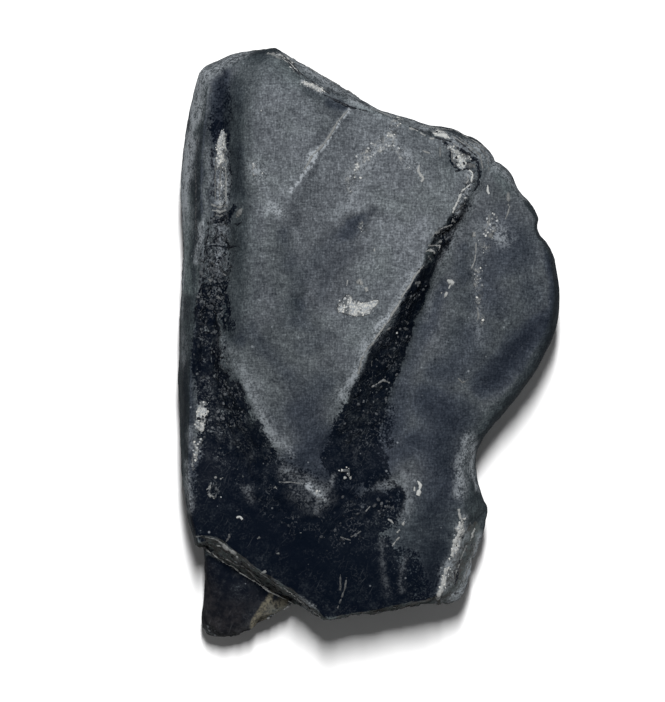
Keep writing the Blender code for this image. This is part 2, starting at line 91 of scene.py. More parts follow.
# Rubbed crests and edges, where the grey film has worn pale
PALE_WEAR = [
    ("patch below the second ridge", 0.5, [(-7.6, 12, 0.47), (-7.3, 10.9, 0.54)]),
    ("small patch", 0.6, [(-6.7, 9.3, 0.34), (-6, 8.9, 0.34)]),
    ("arc's other end", 0.4, [(1.7, 13.2, 0.34), (2.6, 12.4, 0.34), (3.3, 11.8, 0.34)]),
    ("lobe patch", 0.45, [(8.3, 7.8, 0.54), (9, 7.2, 0.61)]),
    ("neck's edge", 0.5, [(6.7, -6.2, 0.34), (6.3, -7.8, 0.34), (6.1, -10, 0.34)]),
    ("neck's wall", 0.6, [(7.1, -6.5, 0.27), (6.9, -8.5, 0.27), (7.3, -9.9, 0.2)]),
    ("shoulder", 0.6, [(-11.6, 17.3, 0.47), (-11, 18.3, 0.54), (-9.7, 19, 0.41), (-8, 19.7, 0.27)]),
    ("biting edge", 0.55, [(-5.8, 19.5, 0.27), (-4, 18.5, 0.41), (-2.3, 17.3, 0.41), (-0.7, 16.4, 0.34)]),
    ("biting step", 0.5, [(0.2, 15.8, 0.17), (2.1, 15.2, 0.17), (4.2, 14.5, 0.2), (5.8, 13.8, 0.27),
        (7.5, 13, 0.34), (8.7, 11.9, 0.34)]),
    ("denticles", 0.35, [(9.2, 11.6, 0.27), (9.9, 10.7, 0.27), (10.5, 9.7, 0.2)]),
    ("lip of the tongue, upper", 0.2, [(-9.9, 0.3, 0.41), (-8.8, -1.5, 0.54), (-7.6, -3.4, 0.61)]),
    ("lip of the tongue, lower", 0.3, [(-7.6, -3.4, 0.34), (-6.9, -5.3, 0.34), (-6.2, -6.6, 0.34),
        (-5.1, -7.4, 0.27)]),
    ("crest of the main ridge", 0.45, [(3.5, 5.3, 0.18), (2.9, 4.5, 0.19), (2.2, 3.4, 0.2),
        (1.9, 2.8, 0.22), (1.4, 2, 0.23), (0.8, 1.1, 0.24), (0.3, 0.3, 0.3), (-0.4, -0.4, 0.34),
        (-0.7, -1.4, 0.34), (-1, -2.2, 0.34), (-1.5, -2.8, 0.34), (-1.9, -3.6, 0.34)]),
    ("ridge's right lip", 0.35, [(7.5, 10.7, 0.2), (6.9, 9.4, 0.23), (6.3, 8.2, 0.24), (5.8, 7.3, 0.24),
        (5.4, 6.5, 0.27), (4.8, 5.5, 0.27)]),
    ("rim of the hollow", 0.22, [(2.6, -9.3, 0.27), (2.7, -10.5, 0.27), (2.4, -11.8, 0.27)]),
    ("groove, prisms", 0.6, [(-10, 12.3, 0.41), (-10, 10.9, 0.44), (-10, 9.6, 0.47)]),
    ("groove, left border", 0.25, [(-10.8, 13.1, 0.2), (-10.8, 10.4, 0.23)]),
    ("break facet, inner side", 0.5, [(6.4, -12.2, 0.2), (6, -13.2, 0.34), (5.6, -14.3, 0.27),
        (5.2, -15.4, 0.27), (4.8, -16.9, 0.27)]),
    ("foot of the main ridge", 0.2, [(6.4, 8, 0.27), (5.5, 6.2, 0.27), (4.6, 4.1, 0.27), (3.8, 1.6, 0.27)]),
    ("third ridge", 0.14, [(7.4, 8, 0.34), (7.3, 5, 0.34), (7.4, 0.3, 0.41)]),
    ("wall's inner band", 0.3, [(-10.9, 12.1, 0.16), (-11, 9.7, 0.16), (-11.1, 7.7, 0.18),
        (-11.3, 5.7, 0.16)]),
    ("second frosted patch", 0.22, [(-8.1, -9.7, 0.24), (-7.9, -10.5, 0.23)]),
    ("arc on the plateau", 0.34, [(1.9, 15, 0.41), (1.1, 13.2, 0.47), (0, 12.4, 0.54), (-1, 11.4, 0.47),
        (-1.2, 10, 0.41)]),
    ("arc's branch", 0.26, [(1.5, 13.4, 0.34), (2.1, 12.7, 0.34), (2.5, 11.9, 0.27)]),
    ("main ridge's eroded crest", 0.6, [(6.7, 11.4, 0.31), (6.7, 10.4, 0.3), (6.2, 9.6, 0.26),
        (5.8, 8.9, 0.22)]),
    ("streaks down the root", 0.1, [(1, -13.2, 0.2), (0.8, -15.3, 0.2), (1.2, -16.8, 0.2)]),
    ("second streaks down the root", 0.12, [(2.5, -14.6, 0.2), (2.1, -16.5, 0.23)]),
    ("frosted patch on the root", 0.27, [(-5.7, -8.6, 0.34), (-4.9, -8.8, 0.41), (-4.1, -9.2, 0.54),
        (-3.4, -9.7, 0.61), (-3, -10.3, 0.54), (-3.4, -11.1, 0.34)]),
    ("frosted patch, inside", 0.16, [(-4.8, -10, 0.54), (-4.2, -10.7, 0.54)]),
    ("frosted patch's right tail", 0.3, [(-2.8, -9.5, 0.18), (-2.3, -8.9, 0.16)]),
    ("biting step's rim", 0.5, [(-0.2, 16.2, 0.2), (1, 15.7, 0.2), (2, 15.2, 0.23), (2.9, 14.9, 0.24),
        (3.8, 14.4, 0.23)]),
    ("biting edge, chip", 1, [(-4.6, 17.8, 0.12), (-4.2, 17.5, 0.2), (-3.6, 17.3, 0.22), (-3.1, 17, 0.14)]),
    ("above the hollow", 0.25, [(0.8, -9.5, 0.34), (1.6, -9.3, 0.34), (2.3, -9, 0.34)]),
    ("crest of the main ridge, middle", 0.7, [(1.4, 2, 0.2), (0.8, 1.1, 0.23), (0.4, 0.3, 0.24)]),
    ("wall's facet", 0.2, [(-12.1, 9.4, 0.34), (-12.1, 7.4, 0.34)]),
    ("wall's foot, smooth", 0.3, [(-11.9, -5.8, 0.23), (-11.9, -7, 0.24)]),
    ("streak, right", 0.5, [(-9.5, 13.1, 0.18), (-9.5, 11.4, 0.19), (-9.5, 9.7, 0.19)]),
    ("wall's inner slope", 0.7, [(-11.3, 17.6, 0.3), (-11.3, 16.2, 0.3), (-11.5, 15, 0.27)]),
    ("gravel's top", 0.4, [(-10.1, 8, 0.54), (-10.2, 6.7, 0.68), (-10.3, 5.5, 0.68)]),
    ("break facet's inner edge", 0.45, [(6.5, -11.6, 0.15), (6.3, -12.6, 0.41), (6, -13.6, 0.41),
        (5.7, -14.7, 0.34), (5.3, -16.1, 0.34), (5, -17.1, 0.27)]),
    # The pale bands along the left wall are partly wear and partly painted reflection on the steep wall
    ("wall's pale band", 1.35, [(-11.2, 18.4, 0.27), (-11.7, 16.6, 0.3), (-11.9, 14.8, 0.32),
        (-12.1, 13.1, 0.36), (-12.3, 11.6, 0.36), (-12.5, 9.7, 0.24), (-12.6, 7.4, 0.3), (-12.6, 5.5, 0.24),
        (-12.7, 3.5, 0.16)]),
    ("groove's left border, lower", 0.6, [(-11.2, 8, 0.18), (-11.3, 6.9, 0.2), (-11.5, 5.5, 0.19)]),
    ("frosted patch's bright core", 0.8, [(-4.1, -9.3, 0.2), (-3.5, -9.9, 0.3), (-3.1, -10.3, 0.24)]),
    ("slab's tip", 0.9, [(-4.6, -17.2, 0.14), (-4.1, -17.7, 0.18), (-3.5, -18.2, 0.14)]),
    ("biting edge's face", 0.4, [(-4.3, 18.4, 0.34), (-2.7, 17.4, 0.34), (-1.2, 16.6, 0.27),
        (0.1, 15.9, 0.2)]),
    ("wall's pale band, fading", 0.6, [(-12.7, 3.2, 0.34), (-12.7, 1.8, 0.34)]),
    ("wall's pale band, faint", 0.3, [(-12.7, 0.6, 0.41), (-12.7, -1.1, 0.41)]),
    ("wall's foot, lower", 0.45, [(-12.3, -8, 0.23), (-12.2, -9.7, 0.24), (-12, -11.2, 0.23)]),
    ("break facet's outer rim", 0.7, [(7.5, -13, 0.27), (7.1, -14.9, 0.34), (6.5, -16.6, 0.34),
        (5.6, -17.5, 0.27)]),
    ("crest of the second ridge", 1.3, [(-1.2, 15.8, 0.1), (-2, 15.1, 0.11), (-2.6, 14.1, 0.12),
        (-3.1, 13.3, 0.14), (-3.6, 12.7, 0.14), (-4.1, 12, 0.14), (-4.6, 11.3, 0.13), (-5.2, 10.3, 0.1)]),
]

# Stretches where the grey film is thin and the stone looks darker
THIN_FILM = [
    ("groove's slope", 0.3, [(-9, 15.1, 1.5), (-9, 9.7, 1.6), (-8.7, 5, 1.6)]),
    ("groove", 0.75, [(-9.9, 18.5, 0.95), (-10, 13.8, 1.2), (-10, 8.4, 1.2), (-10.4, 3, 1.4)]),
    ("plateau, low left", 0.4, [(-7.2, 4.3, 2), (-5.6, 1.6, 2.2)]),
    ("trough between the ridges", 0.5, [(-1.1, 8.2, 0.81), (-2.9, 6.5, 1.2), (-4.3, 4.7, 1.4),
        (-5.4, 2.6, 1.2)]),
    ("trough of the second ridge", 0.25, [(-3.9, 10.4, 0.54), (-5.3, 8.9, 0.81), (-6.2, 7, 0.81)]),
    ("plateau's foot", 0.3, [(-2.6, -1.4, 2.4)]),
    ("tongue", 0.68, [(-2.9, -3.1, 2), (-4.8, -4.6, 2), (-3.1, -6.5, 2)]),
    ("lobe, top", 0.35, [(8.3, 10.7, 2.3), (10.2, 8.4, 2)]),
    ("lobe", 0.68, [(9.9, 6.4, 3.1), (7.9, 3.6, 3.1), (10.2, 3, 3.1)]),
    ("lobe, foot", 0.72, [(6.9, -0.1, 3.1), (4.8, -1.8, 2.3)]),
    ("below the lobe", 0.82, [(3.8, -3.8, 2), (5.5, -5.1, 3)]),
    ("lobe's trough", 0.85, [(11.9, 1.6, 1.4), (9.9, -0.1, 1.6), (7.9, -2.4, 1.8)]),
    ("rim of the lobe", 0.88, [(12.4, 7.4, 0.95), (12.7, 3, 0.95), (12.1, -0.7, 1.1)]),
    ("beside the main ridge's flank", 0.68, [(4.8, 3.6, 1.1), (3.1, -0.4, 1.4), (2.1, -4.5, 1.8)]),
    ("neck", 0.8, [(4.8, -6.5, 2.7), (5.5, -9.2, 2.4), (4.2, -11.9, 2.7)]),
    ("root's right", 0.72, [(3.1, -13.2, 3.1), (4.2, -15.9, 2.4)]),
    ("hollow", 0.85, [(1.3, -10.5, 1.8)]),
    ("root", 0.9, [(-5.3, -9.2, 2.4), (-1.6, -9.5, 2.4), (-2.6, -12.6, 3.8), (-8, -11.9, 4.5),
        (0.8, -15.9, 3.1)]),
    ("left wall, upper", 0.82, [(-11.3, 15.5, 0.54), (-11.5, 11.1, 0.54), (-11.7, 7, 0.54),
        (-12, 3, 0.54)]),
    ("left wall, lower", 0.9, [(-12.4, 0.9, 0.95), (-12.5, -3.8, 0.95), (-12.3, -7.8, 0.95),
        (-11.8, -12.6, 0.95)]),
    ("stump", 0.97, [(-9.9, -15.3, 2.3), (-9.9, -18.3, 2.2), (-7.7, -17.3, 1.6)]),
    ("slab break", 0.8, [(-10.4, -13.6, 0.81), (-8.3, -14.9, 0.81), (-6.3, -16.6, 0.81),
        (-4.3, -18.1, 0.68)]),
    ("below the biting edge", 0.3, [(-5.3, 17.5, 0.95), (-2.6, 15.7, 0.81)]),
]

# Black stain, which stays where the stone was not rubbed: in the grooves, under the main ridge
# and on the root
BLACK_STAIN = [
    ("groove, foot", 1, [(-10.7, 3, 0.88), (-11, 0.6, 0.88), (-10.7, -2.1, 1.1), (-9.9, -4.1, 1.6),
        (-9.2, -6.1, 2), (-8.7, -9.2, 3)]),
    ("root's end", 1, [(-7.2, -15.6, 1.9), (-4, -17, 1.6), (-0.6, -17.2, 1.5), (2.1, -16.9, 0.95)]),
    ("hollow", 0.6, [(1.6, -9.7, 0.61), (1.5, -11.6, 0.81)]),
    ("groove, crescent", 0.9, [(-10.4, 8.3, 0.14), (-9.9, 8.3, 0.24), (-9.4, 8.6, 0.2), (-9, 9.2, 0.16)]),
    ("hollow, streaks", 0.8, [(1.5, -10.1, 0.2), (2, -9.7, 0.23), (2.3, -10, 0.24), (2.2, -11.1, 0.2)]),
    ("groove, about the white core", 0.6, [(-10.2, 14.4, 0.68), (-10.4, 13.6, 0.2)]),
    ("groove, beside the streak", 0.7, [(-10.5, 13.1, 0.11), (-10.5, 11.8, 0.11), (-10.5, 10, 0.11)]),
    ("main ridge's flank, top", 1, [(6.8, 9.5, 0.16), (6.2, 8.7, 0.3), (5.6, 7.7, 0.43), (5.1, 6.7, 0.34),
        (4.6, 5.7, 0.31)]),
    ("corner, left gap", 0.9, [(5.2, 13.4, 0.1), (5.5, 12.9, 0.12), (5.6, 12.2, 0.11), (5.9, 11.6, 0.095)]),
    ("corner, right gap", 0.9, [(6.2, 13.1, 0.1), (6.7, 12.7, 0.12), (7.1, 12.4, 0.1)]),
    ("corner, hook", 0.85, [(7.2, 12.2, 0.11), (7.4, 11.5, 0.11), (7.3, 10.7, 0.11)]),
    ("main ridge's flank", 1, [(4.2, 5.2, 0.41), (3.5, 3.9, 0.56), (2.9, 2.8, 0.64), (2.6, 1.9, 0.68),
        (2.1, 0.9, 0.82), (1.7, 0.1, 0.88), (1.2, -0.7, 1.1), (0.7, -2.2, 1.1), (0, -3.7, 1.3),
        (-0.8, -5.8, 1.6), (-1.2, -7.7, 1.8)]),
    ("groove's top, right", 0.36, [(-9.4, 17.2, 0.27), (-9.4, 16.2, 0.41), (-9.4, 15.1, 0.41)]),
    ("groove's side", 0.6, [(-9.6, 3.1, 0.34), (-9.3, 1.3, 0.41)]),
    ("stump", 0.8, [(-9.9, -15.3, 1.6), (-9.9, -18.3, 1.5)]),
    ("groove, lower gravel", 0.5, [(-10.4, 3.9, 0.81), (-10.5, 3, 1)]),
    ("groove, gravel", 0.24, [(-10.4, 5, 0.81)]),
    ("groove, top", 0.42, [(-9.6, 17.8, 0.34), (-9.8, 17, 0.47), (-10.1, 16.1, 0.61), (-10.2, 15.1, 0.61),
        (-10.4, 14.3, 0.47)]),
    ("groove, other side of the streak", 0.6, [(-9.4, 14.3, 0.11), (-9.3, 12.1, 0.14), (-9.3, 9.7, 0.14)]),
    ("root's face", 1, [(-9, -10.9, 3.2), (-5.3, -11.9, 3.5), (-2.6, -13, 3.4), (-1.2, -15.6, 2.3)]),
    ("foot of the black band", 0.7, [(0.1, -6.5, 0.74), (1, -8.5, 0.54), (0.2, -9.2, 0.54)]),
    ("foot of the black band, fading", 0.5, [(1, -4.3, 0.81), (1, -6.5, 0.88)]),
    ("root's right, fading", 0.8, [(0.6, -14.1, 1.4), (1.2, -16.3, 1.6)]),
    ("root's right, faint", 0.62, [(2.4, -14.9, 1.2), (2.8, -16.6, 1.4)]),
    ("beside the break facet", 0.4, [(4.8, -15, 0.2), (4.6, -15.8, 0.27), (4.2, -17.1, 0.27)]),
    ("hollow's left", 0.85, [(0.4, -10.4, 0.68), (0.5, -11.9, 0.88)]),
]

# Cream to white mineral, crusted on in patches or showing in chips and cracks
MINERAL = [
    ("below the crust on the left edge", 0.45, [(-11.5, -6.5, 0.34), (-11.8, -7.6, 0.27),
        (-11.7, -8.5, 0.2)]),
    ("biting edge's tip", 0.5, [(-6.5, 19.5, 0.2), (-5.6, 19.1, 0.2), (-5.1, 18.5, 0.14)]),
    ("plateau", 1, [(-1.5, 3, 0.41), (-1.6, 2.5, 0.61), (-0.8, 2.4, 0.61)]),
    ("plateau, greyer end", 0.8, [(-0.9, 2.4, 0.54), (-0.2, 2.4, 0.54), (0.6, 2.8, 0.16)]),
    ("groove, top", 1, [(-9.8, 14.2, 0.24), (-9.9, 13.4, 0.38), (-9.9, 12.6, 0.35)]),
    ("groove, streak", 0.4, [(-10, 12.1, 0.34), (-10, 9.7, 0.34)]),
    ("corner", 1, [(6, 12.6, 0.31), (6.2, 12, 0.41)]),
    ("corner's scales", 0.7, [(5.4, 13.1, 0.2), (6.6, 12.6, 0.2)]),
    ("chip on the biting step", 1, [(4.6, 14.1, 0.2), (5.2, 13.9, 0.23)]),
    ("crumbs in the trough", 0.4, [(-0.3, 7.6, 0.34), (-0.7, 8, 0.27)]),
    ("crumbs of the arc", 0.4, [(1.9, 15, 0.34), (1.3, 13.6, 0.47), (0.5, 13, 0.54), (-0.4, 12.4, 0.47),
        (-1, 11.6, 0.47), (-1.2, 10.4, 0.41)]),
    ("crumbs of the arc's branch", 0.37, [(1.5, 13.4, 0.34), (2.1, 12.7, 0.34), (2.5, 11.9, 0.27)]),
    ("lobe's crumbs", 0.38, [(8.4, 8.6, 0.41), (8.1, 7.3, 0.61), (7.8, 6.4, 0.47)]),
    ("lobe's lower crumbs", 0.37, [(7.3, 5, 0.34), (7.5, 3, 0.34), (7.5, 1.5, 0.34)]),
    ("plateau's pale spot", 0.4, [(-7.5, 12.1, 0.34), (-7.5, 11.4, 0.34)]),
    ("left edge", 1, [(-11.2, -4, 0.31), (-11.2, -4.7, 0.47), (-11.3, -5.5, 0.34)]),
    ("biting edge, chip", 0.9, [(-4.5, 17.7, 0.11), (-4.1, 17.5, 0.16), (-3.5, 17.2, 0.16),
        (-3.1, 17, 0.095)]),
    ("root, ring of crumbs", 0.38, [(-10.2, -9.1, 0.12), (-9.9, -9.1, 0.12), (-10.6, -9.5, 0.14),
        (-10.8, -9.9, 0.15), (-10.6, -10.2, 0.15), (-10.2, -10.3, 0.12)]),
    ("root, mineral", 0.8, [(-1.9, -8.6, 0.12), (-1.5, -8.5, 0.16), (-1.5, -8.9, 0.14)]),
    ("frosted patch's crumbs", 0.36, [(-3.5, -9.7, 0.34), (-3.1, -10.3, 0.27)]),
    ("streak's white flecks", 0.42, [(-9.6, 11.9, 0.18), (-9.6, 10, 0.16)]),
    ("break facet's inner edge", 0.8, [(6.4, -11.8, 0.095), (6.1, -12.6, 0.3), (5.9, -13.4, 0.34),
        (5.6, -14.3, 0.23)]),
    ("break facet's inner foot", 0.75, [(5.3, -15.1, 0.15), (5.1, -15.9, 0.19), (4.8, -17.1, 0.2)]),
]

# Crumbling stretches, where the surface has gone to grains
CRUMBLE = [
    ("groove", 1, [(-9.9, 9.3, 0.41), (-10.1, 7.8, 0.68), (-10.2, 6.4, 0.81), (-10.4, 4.7, 0.95),
        (-10.6, 1.6, 0.95)]),
    ("groove, foot", 0.6, [(-10.6, 1.6, 0.95), (-10.4, -1.8, 1.2), (-9.7, -5.1, 1.5)]),
    ("main ridge's flank", 0.45, [(3.5, 3.9, 0.54), (2.1, 0.9, 0.81), (0.7, -2.2, 1), (-0.6, -5.8, 1.4)]),
    ("root", 0.3, [(-9, -7.2, 1.6), (-4.6, -10.9, 2.3), (-1.6, -11.9, 2)]),
    ("hollow", 0.7, [(1, -10.9, 0.68)]),
    ("root, ring of crumbs", 0.9, [(-10.4, -9.7, 0.47)]),
    ("slab break", 0.5, [(-10.8, -13.6, 0.41), (-8.7, -15, 0.34), (-6.3, -16.6, 0.27)]),
    ("break facet", 0.4, [(6.7, -12.6, 0.54), (6.3, -14.6, 0.61), (5.5, -16.8, 0.47)]),
    ("plateau's crust", 0.6, [(-1.1, 2.6, 0.54)]),
    ("left edge's crust", 0.6, [(-11.2, -4.8, 0.61)]),
    ("main ridge's eroded crest", 0.8, [(6.3, 11.9, 0.47), (6.7, 10.9, 0.3), (6.2, 9.5, 0.3),
        (5.4, 7.7, 0.41), (4.4, 6.4, 0.41)]),
    ("chipped corner", 0.4, [(5.2, 13.4, 0.27), (6, 12.8, 0.47), (6.9, 12.2, 0.34)]),
]

# Stretches where the broken enamel shows its prisms, side by side and lengthwise
PRISMS = [
    ("groove, streak", 1, [(-9.9, 14.5, 0.41), (-9.9, 12.4, 0.47), (-9.8, 9.7, 0.47)]),
]

# Bare breaks, where brownish dentine shows
BARE_BREAK = [
    ("break facet", 1, [(7.1, -12.6, 0.54), (6.6, -14.1, 0.74), (6, -15.8, 0.74), (5.5, -17, 0.54)]),
    ("slab break", 0.3, [(-10.4, -13.6, 0.47), (-8.7, -14.9, 0.47), (-6.3, -16.6, 0.41),
        (-4.4, -18.1, 0.34)]),
    ("stump", 0.3, [(-9.6, -16.2, 1.6), (-9.4, -18.4, 1.4)]),
]

# Faces that the film tints green, as it does the walls
GREEN_FACES = [
    ("biting edge's face", 0.9, [(-4.8, 19, 0.47), (-2.9, 17.8, 0.54), (-1.5, 16.9, 0.47), (0, 16, 0.34),
        (2.3, 15.2, 0.27)]),
    ("break facet", 0.5, [(7.1, -13.6, 0.61), (6.5, -15.9, 0.61)]),
    ("lobe's upper edge", 0.6, [(8.5, 11.9, 0.47), (9.4, 10.5, 0.47)]),
]

# The stump's brown, dull stone
BROWN_STONE = [
    ("stump", 1, [(-10, -15.1, 2), (-9.9, -18.1, 2.2), (-8.1, -18.1, 1.6)]),
]

# A stretch of the stump where the stone lets light through
AMBER = [
    ("amber seam", 1, [(-6.5, -16.9, 0.18), (-6.8, -17.6, 0.23), (-7.2, -18.2, 0.26), (-7.8, -19.2, 0.22)]),
    ("amber beside the seam", 0.62, [(-5.6, -17.5, 0.36), (-6.2, -18, 0.51), (-6.9, -18.6, 0.46)]),
]

# Broad shades, in doublings: over 0 the film is thicker and paler, under 0 thinner and darker. Partly the
# film's own tone, partly painted shade in hollows, troughs and pits and painted light on the walls and on
# slopes turned to the light
TONES_AND_PAINTED_SHADING = [
    ("slope by the tongue", -1, [(-8, 0.8, 0.88), (-7.2, -0.4, 0.95), (-5.4, -1.9, 1)]),
    ("hollow of the second ridge", -0.8, [(-5.8, 7.4, 0.68), (-5.4, 5.5, 0.68)]),
    ("second ridge's shade", -0.5, [(-2.9, 14.8, 0.61), (-3.8, 12.4, 0.47), (-4.1, 11.1, 0.47)]),
    ("middle hollow", -0.8, [(-1, 6.4, 0.74), (-2.1, 5, 0.88), (-3.1, 3.2, 0.81)]),
    ("above the tongue", -0.7, [(-4.6, 1.5, 0.88), (-2.9, 0.6, 0.88), (-4.6, -0.5, 0.88)]),
    ("right of the flank's foot", -1.6, [(1.6, -5.8, 0.88), (1.2, -7.3, 1.1), (0.6, -8.6, 0.81),
        (2.8, -6.5, 0.81)]),
    ("lobe's trough", -1, [(10.5, -0.1, 0.68), (10.1, -1.6, 0.74)]),
    ("biting edge", 0.8, [(-6, 18.8, 0.54), (-4.8, 17.8, 0.61)]),
    ("rim", 0.8, [(-0.3, 16.1, 0.34), (2, 15.1, 0.34), (2.9, 14.9, 0.34)]),
    ("lobe's right", 0.7, [(9.2, 4, 1.1), (10, 2.8, 0.95)]),
    ("hollow's upper lip", 0.8, [(1.7, -9.3, 0.61)]),
    ("neck's outer side", 0.8, [(7.5, -10.9, 0.47), (7.3, -12.2, 0.47)]),
    ("groove's top", -1.3, [(-9.8, 18.1, 0.61), (-9.9, 16.5, 0.81), (-9.9, 15, 0.81)]),
    ("root's face", -0.8, [(-4.6, -13.2, 2), (-2.6, -15.9, 1.8)]),
    ("root by the notch", 0.6, [(2.3, -16.3, 0.68)]),
    ("corner's hollow", -0.6, [(5.6, 12.7, 0.47), (7.3, 11.4, 0.34)]),
    ("wall's top", 1.2, [(-11.2, 17.4, 0.41), (-11.5, 16.1, 0.34), (-11.7, 14.8, 0.27)]),
    ("wall's facet", 2.4, [(-12.3, 10.1, 0.41), (-12.3, 7.7, 0.41), (-12.3, 5.5, 0.41),
        (-12.2, 3.5, 0.41)]),
    ("wall's facet, lower", 1.3, [(-12.4, 1.3, 0.41), (-12.5, -0.5, 0.41)]),
    ("wall's foot", 1, [(-12.5, -6.5, 0.34), (-12.3, -8.5, 0.41), (-11.9, -10.9, 0.41)]),
    ("wall's edge by the groove", 0.9, [(-11.5, 5.5, 0.27), (-11.7, 3.6, 0.27)]),
    ("tongue's lip", -0.5, [(-8.1, -1.9, 0.54), (-7.2, -3.9, 0.54), (-6.3, -5.9, 0.47)]),
    ("hollow by the biting edge", -1.7, [(-2.6, 16.3, 0.37), (-1.9, 16, 0.31), (-1.3, 15.9, 0.18)]),
    ("slope over the hollow", -0.5, [(-4, 17, 0.61), (-2.6, 16.8, 0.61)]),
    ("end of the second ridge", -0.5, [(-4.6, 8.8, 0.81), (-4.8, 8, 0.68)]),
    ("plateau's middle", -0.5, [(-4.2, 2.6, 0.68)]),
    ("plateau's right", -0.3, [(2.9, 12.1, 1.4), (3.3, 9.7, 1.5)]),
    ("lobe beside the ridge", -0.55, [(6, 6.6, 0.68), (6.2, 4.7, 0.61)]),
    ("tongue's foot", -1.4, [(-4.4, -7.5, 0.81), (-3.1, -7, 0.88), (-2.1, -6.1, 0.68)]),
    ("wall's top, inner side", 1, [(-11.3, 16.2, 0.34), (-11.5, 14.9, 0.27)]),
    ("lobe beside the ridge, lower", -0.9, [(6.3, 6.5, 0.54)]),
    ("lobe's foot", 0.45, [(2.9, -2.4, 0.61), (3.6, -0.5, 1), (4.8, -0.7, 1), (6.2, -0.5, 1.1),
        (7.9, -0.3, 0.88)]),
    ("lobe's trough, foot", -0.55, [(9.5, -2.4, 0.61)]),
    ("groove's top, core", -1.3, [(-9.8, 17.6, 0.54), (-9.7, 16.1, 0.74), (-9.8, 14.5, 0.68)]),
    ("groove's right side", -1.4, [(-8.7, 0.3, 0.61)]),
    ("upper trough", -0.95, [(0.4, 9, 0.37), (-0.4, 8.6, 0.47), (-1, 8, 0.51), (-1.6, 7.2, 0.41)]),
    ("wall's top, outer side", 1.5, [(-11.5, 16.5, 0.34), (-11.5, 15.3, 0.34), (-11.7, 14.1, 0.27)]),
    ("middle of the tongue", 0.5, [(-2.8, -3.5, 0.81)]),
    ("lobe, high", -1, [(8.3, 7.8, 0.61), (9.1, 7.5, 0.61)]),
    ("beside the streak, faint", -0.7, [(-8.7, 13.1, 0.34), (-8.6, 10.1, 0.34)]),
    ("root's right side", -2, [(4.7, -13.8, 0.61), (4.3, -15.3, 0.81), (3.9, -16.9, 0.95)]),
    ("groove's top, right", -0.7, [(-8.9, 17.8, 0.34), (-8.8, 15.9, 0.41)]),
    ("beside the streak", -0.9, [(-8.8, 13.1, 0.34), (-8.8, 10.1, 0.34)]),
    ("root, left", -0.6, [(-10.4, -7.3, 0.81), (-9, -8.4, 0.95)]),
    ("lobe, upper right", -0.45, [(8.9, 8.9, 0.81), (9.1, 7.2, 0.81), (6.3, 9.2, 0.81)]),
    ("plateau, upper right", -0.45, [(-2.2, 15.5, 0.68), (-1.6, 13.9, 0.68), (-1.2, 12.3, 0.81)]),
    ("plateau, low left", -0.55, [(-8.5, 0.7, 0.68), (-8.1, -1.2, 0.68), (-5.6, -2, 0.95)]),
    ("plateau, right light", 0.5, [(1.9, 7, 0.54)]),
    ("lobe's first light", 0.6, [(3.8, 5.9, 0.54), (4, 5.5, 0.54)]),
    ("lobe, middle light", 0.6, [(6.9, 3.9, 0.54)]),
    ("ridge's left light", 0.5, [(-2.1, -3.1, 0.54), (-1.4, -3.9, 0.54)]),
    ("plateau's rim", 0.6, [(1.9, 14.9, 0.41), (2.8, 15, 0.41)]),
    ("wall, upper", 0.7, [(-12.3, 11.9, 0.27), (-12.3, 7.3, 0.27)]),
    ("root's right, grey", -0.9, [(4, -13.8, 0.54), (3.9, -14.9, 0.54)]),
    ("by the facet", -0.6, [(5.2, -12.6, 0.41), (4.8, -13.9, 0.41)]),
    ("upper trough's end", 0.9, [(-1.2, 9.3, 0.54), (-2.1, 8.5, 0.47)]),
    ("upper trough's dark", -0.9, [(-1.2, 7.2, 0.31), (-0.6, 7.8, 0.41), (0, 8.3, 0.27)]),
    ("small pit", -0.9, [(-4.6, 2.4, 0.41), (-4.9, 2.8, 0.27)]),
    ("root's right, foot", -0.8, [(2.5, -15.8, 1.1)]),
    ("groove's lower gravel", -0.5, [(-10.5, 3, 0.81), (-10.6, 1.6, 0.81)]),
    ("break facet's outer side", 1.1, [(7.1, -14.3, 0.41), (6.6, -16.2, 0.47), (5.9, -17.3, 0.34)]),
    ("root's left edge", -0.6, [(-11.4, -8.5, 0.47), (-11.3, -6.8, 0.41)]),
    ("lobe's first shade", -0.35, [(6, 8.9, 0.54), (6, 5.3, 0.54)]),
    ("wall's foot, light", 0.6, [(-12.5, -5.9, 0.27), (-12.4, -7, 0.27)]),
]

EDGE_WANDER = ((1.6, 0.3), (0.5, 0.12))  # how far a mark's edge wanders, and over what length, in mm
WANDER_SEED = 4


def wandering(places):
    """The places moved a little by noise, so that a stroke's edge looks worn and not drawn."""
    noise.seed_set(WANDER_SEED)
    moved = places.copy()
    for length, reach in EDGE_WANDER:
        for index, place in enumerate(places):
            moved[index] += reach * np.array(noise.noise_vector(Vector(place) / length))
    return moved


def ramp(values, start, end):
    """0 up to start, 1 from end on, and straight between them."""
    return np.clip((values - start) / (end - start), 0, 1)


def stroked(places, strokes, soft=True):
    """How strongly each place is marked. A soft stroke fades from its middle, a firm one at its edge."""
    worth = np.zeros(len(places))
    for _, strength, path in strokes:
        path = np.array(path if len(path) > 1 else path * 2)
        for start, end in zip(path, path[1:]):
            run = end[:2] - start[:2]
            share = np.clip((places[:, :2] - start[:2]) @ run / max(run @ run, 1e-9), 0, 1)
            gap = np.linalg.norm(places[:, :2] - start[:2] - share[:, None] * run, axis=1)
            gap = gap / (start[2] + share * (end[2] - start[2]))
            if soft:
                near = np.exp(-gap * gap)
            else:
                near = ramp(gap, 1.3, 0.7)
                near = near * near * (3 - 2 * near)
            stronger = strength * near
            worth = np.where(np.abs(stronger) > np.abs(worth), stronger, worth)
    return worth


def keep_mark(mesh, name, values):
    mesh.attributes.new(name, "FLOAT", "POINT").data.foreach_set("value", values.astype(np.float32))


def corners_and_normals(mesh):
    points = np.empty(len(mesh.vertices) * 3)
    normals = np.empty(len(mesh.vertices) * 3)
    mesh.vertices.foreach_get("co", points)
    mesh.vertices.foreach_get("normal", normals)
    return points.reshape(-1, 3) / MM, normals.reshape(-1, 3)


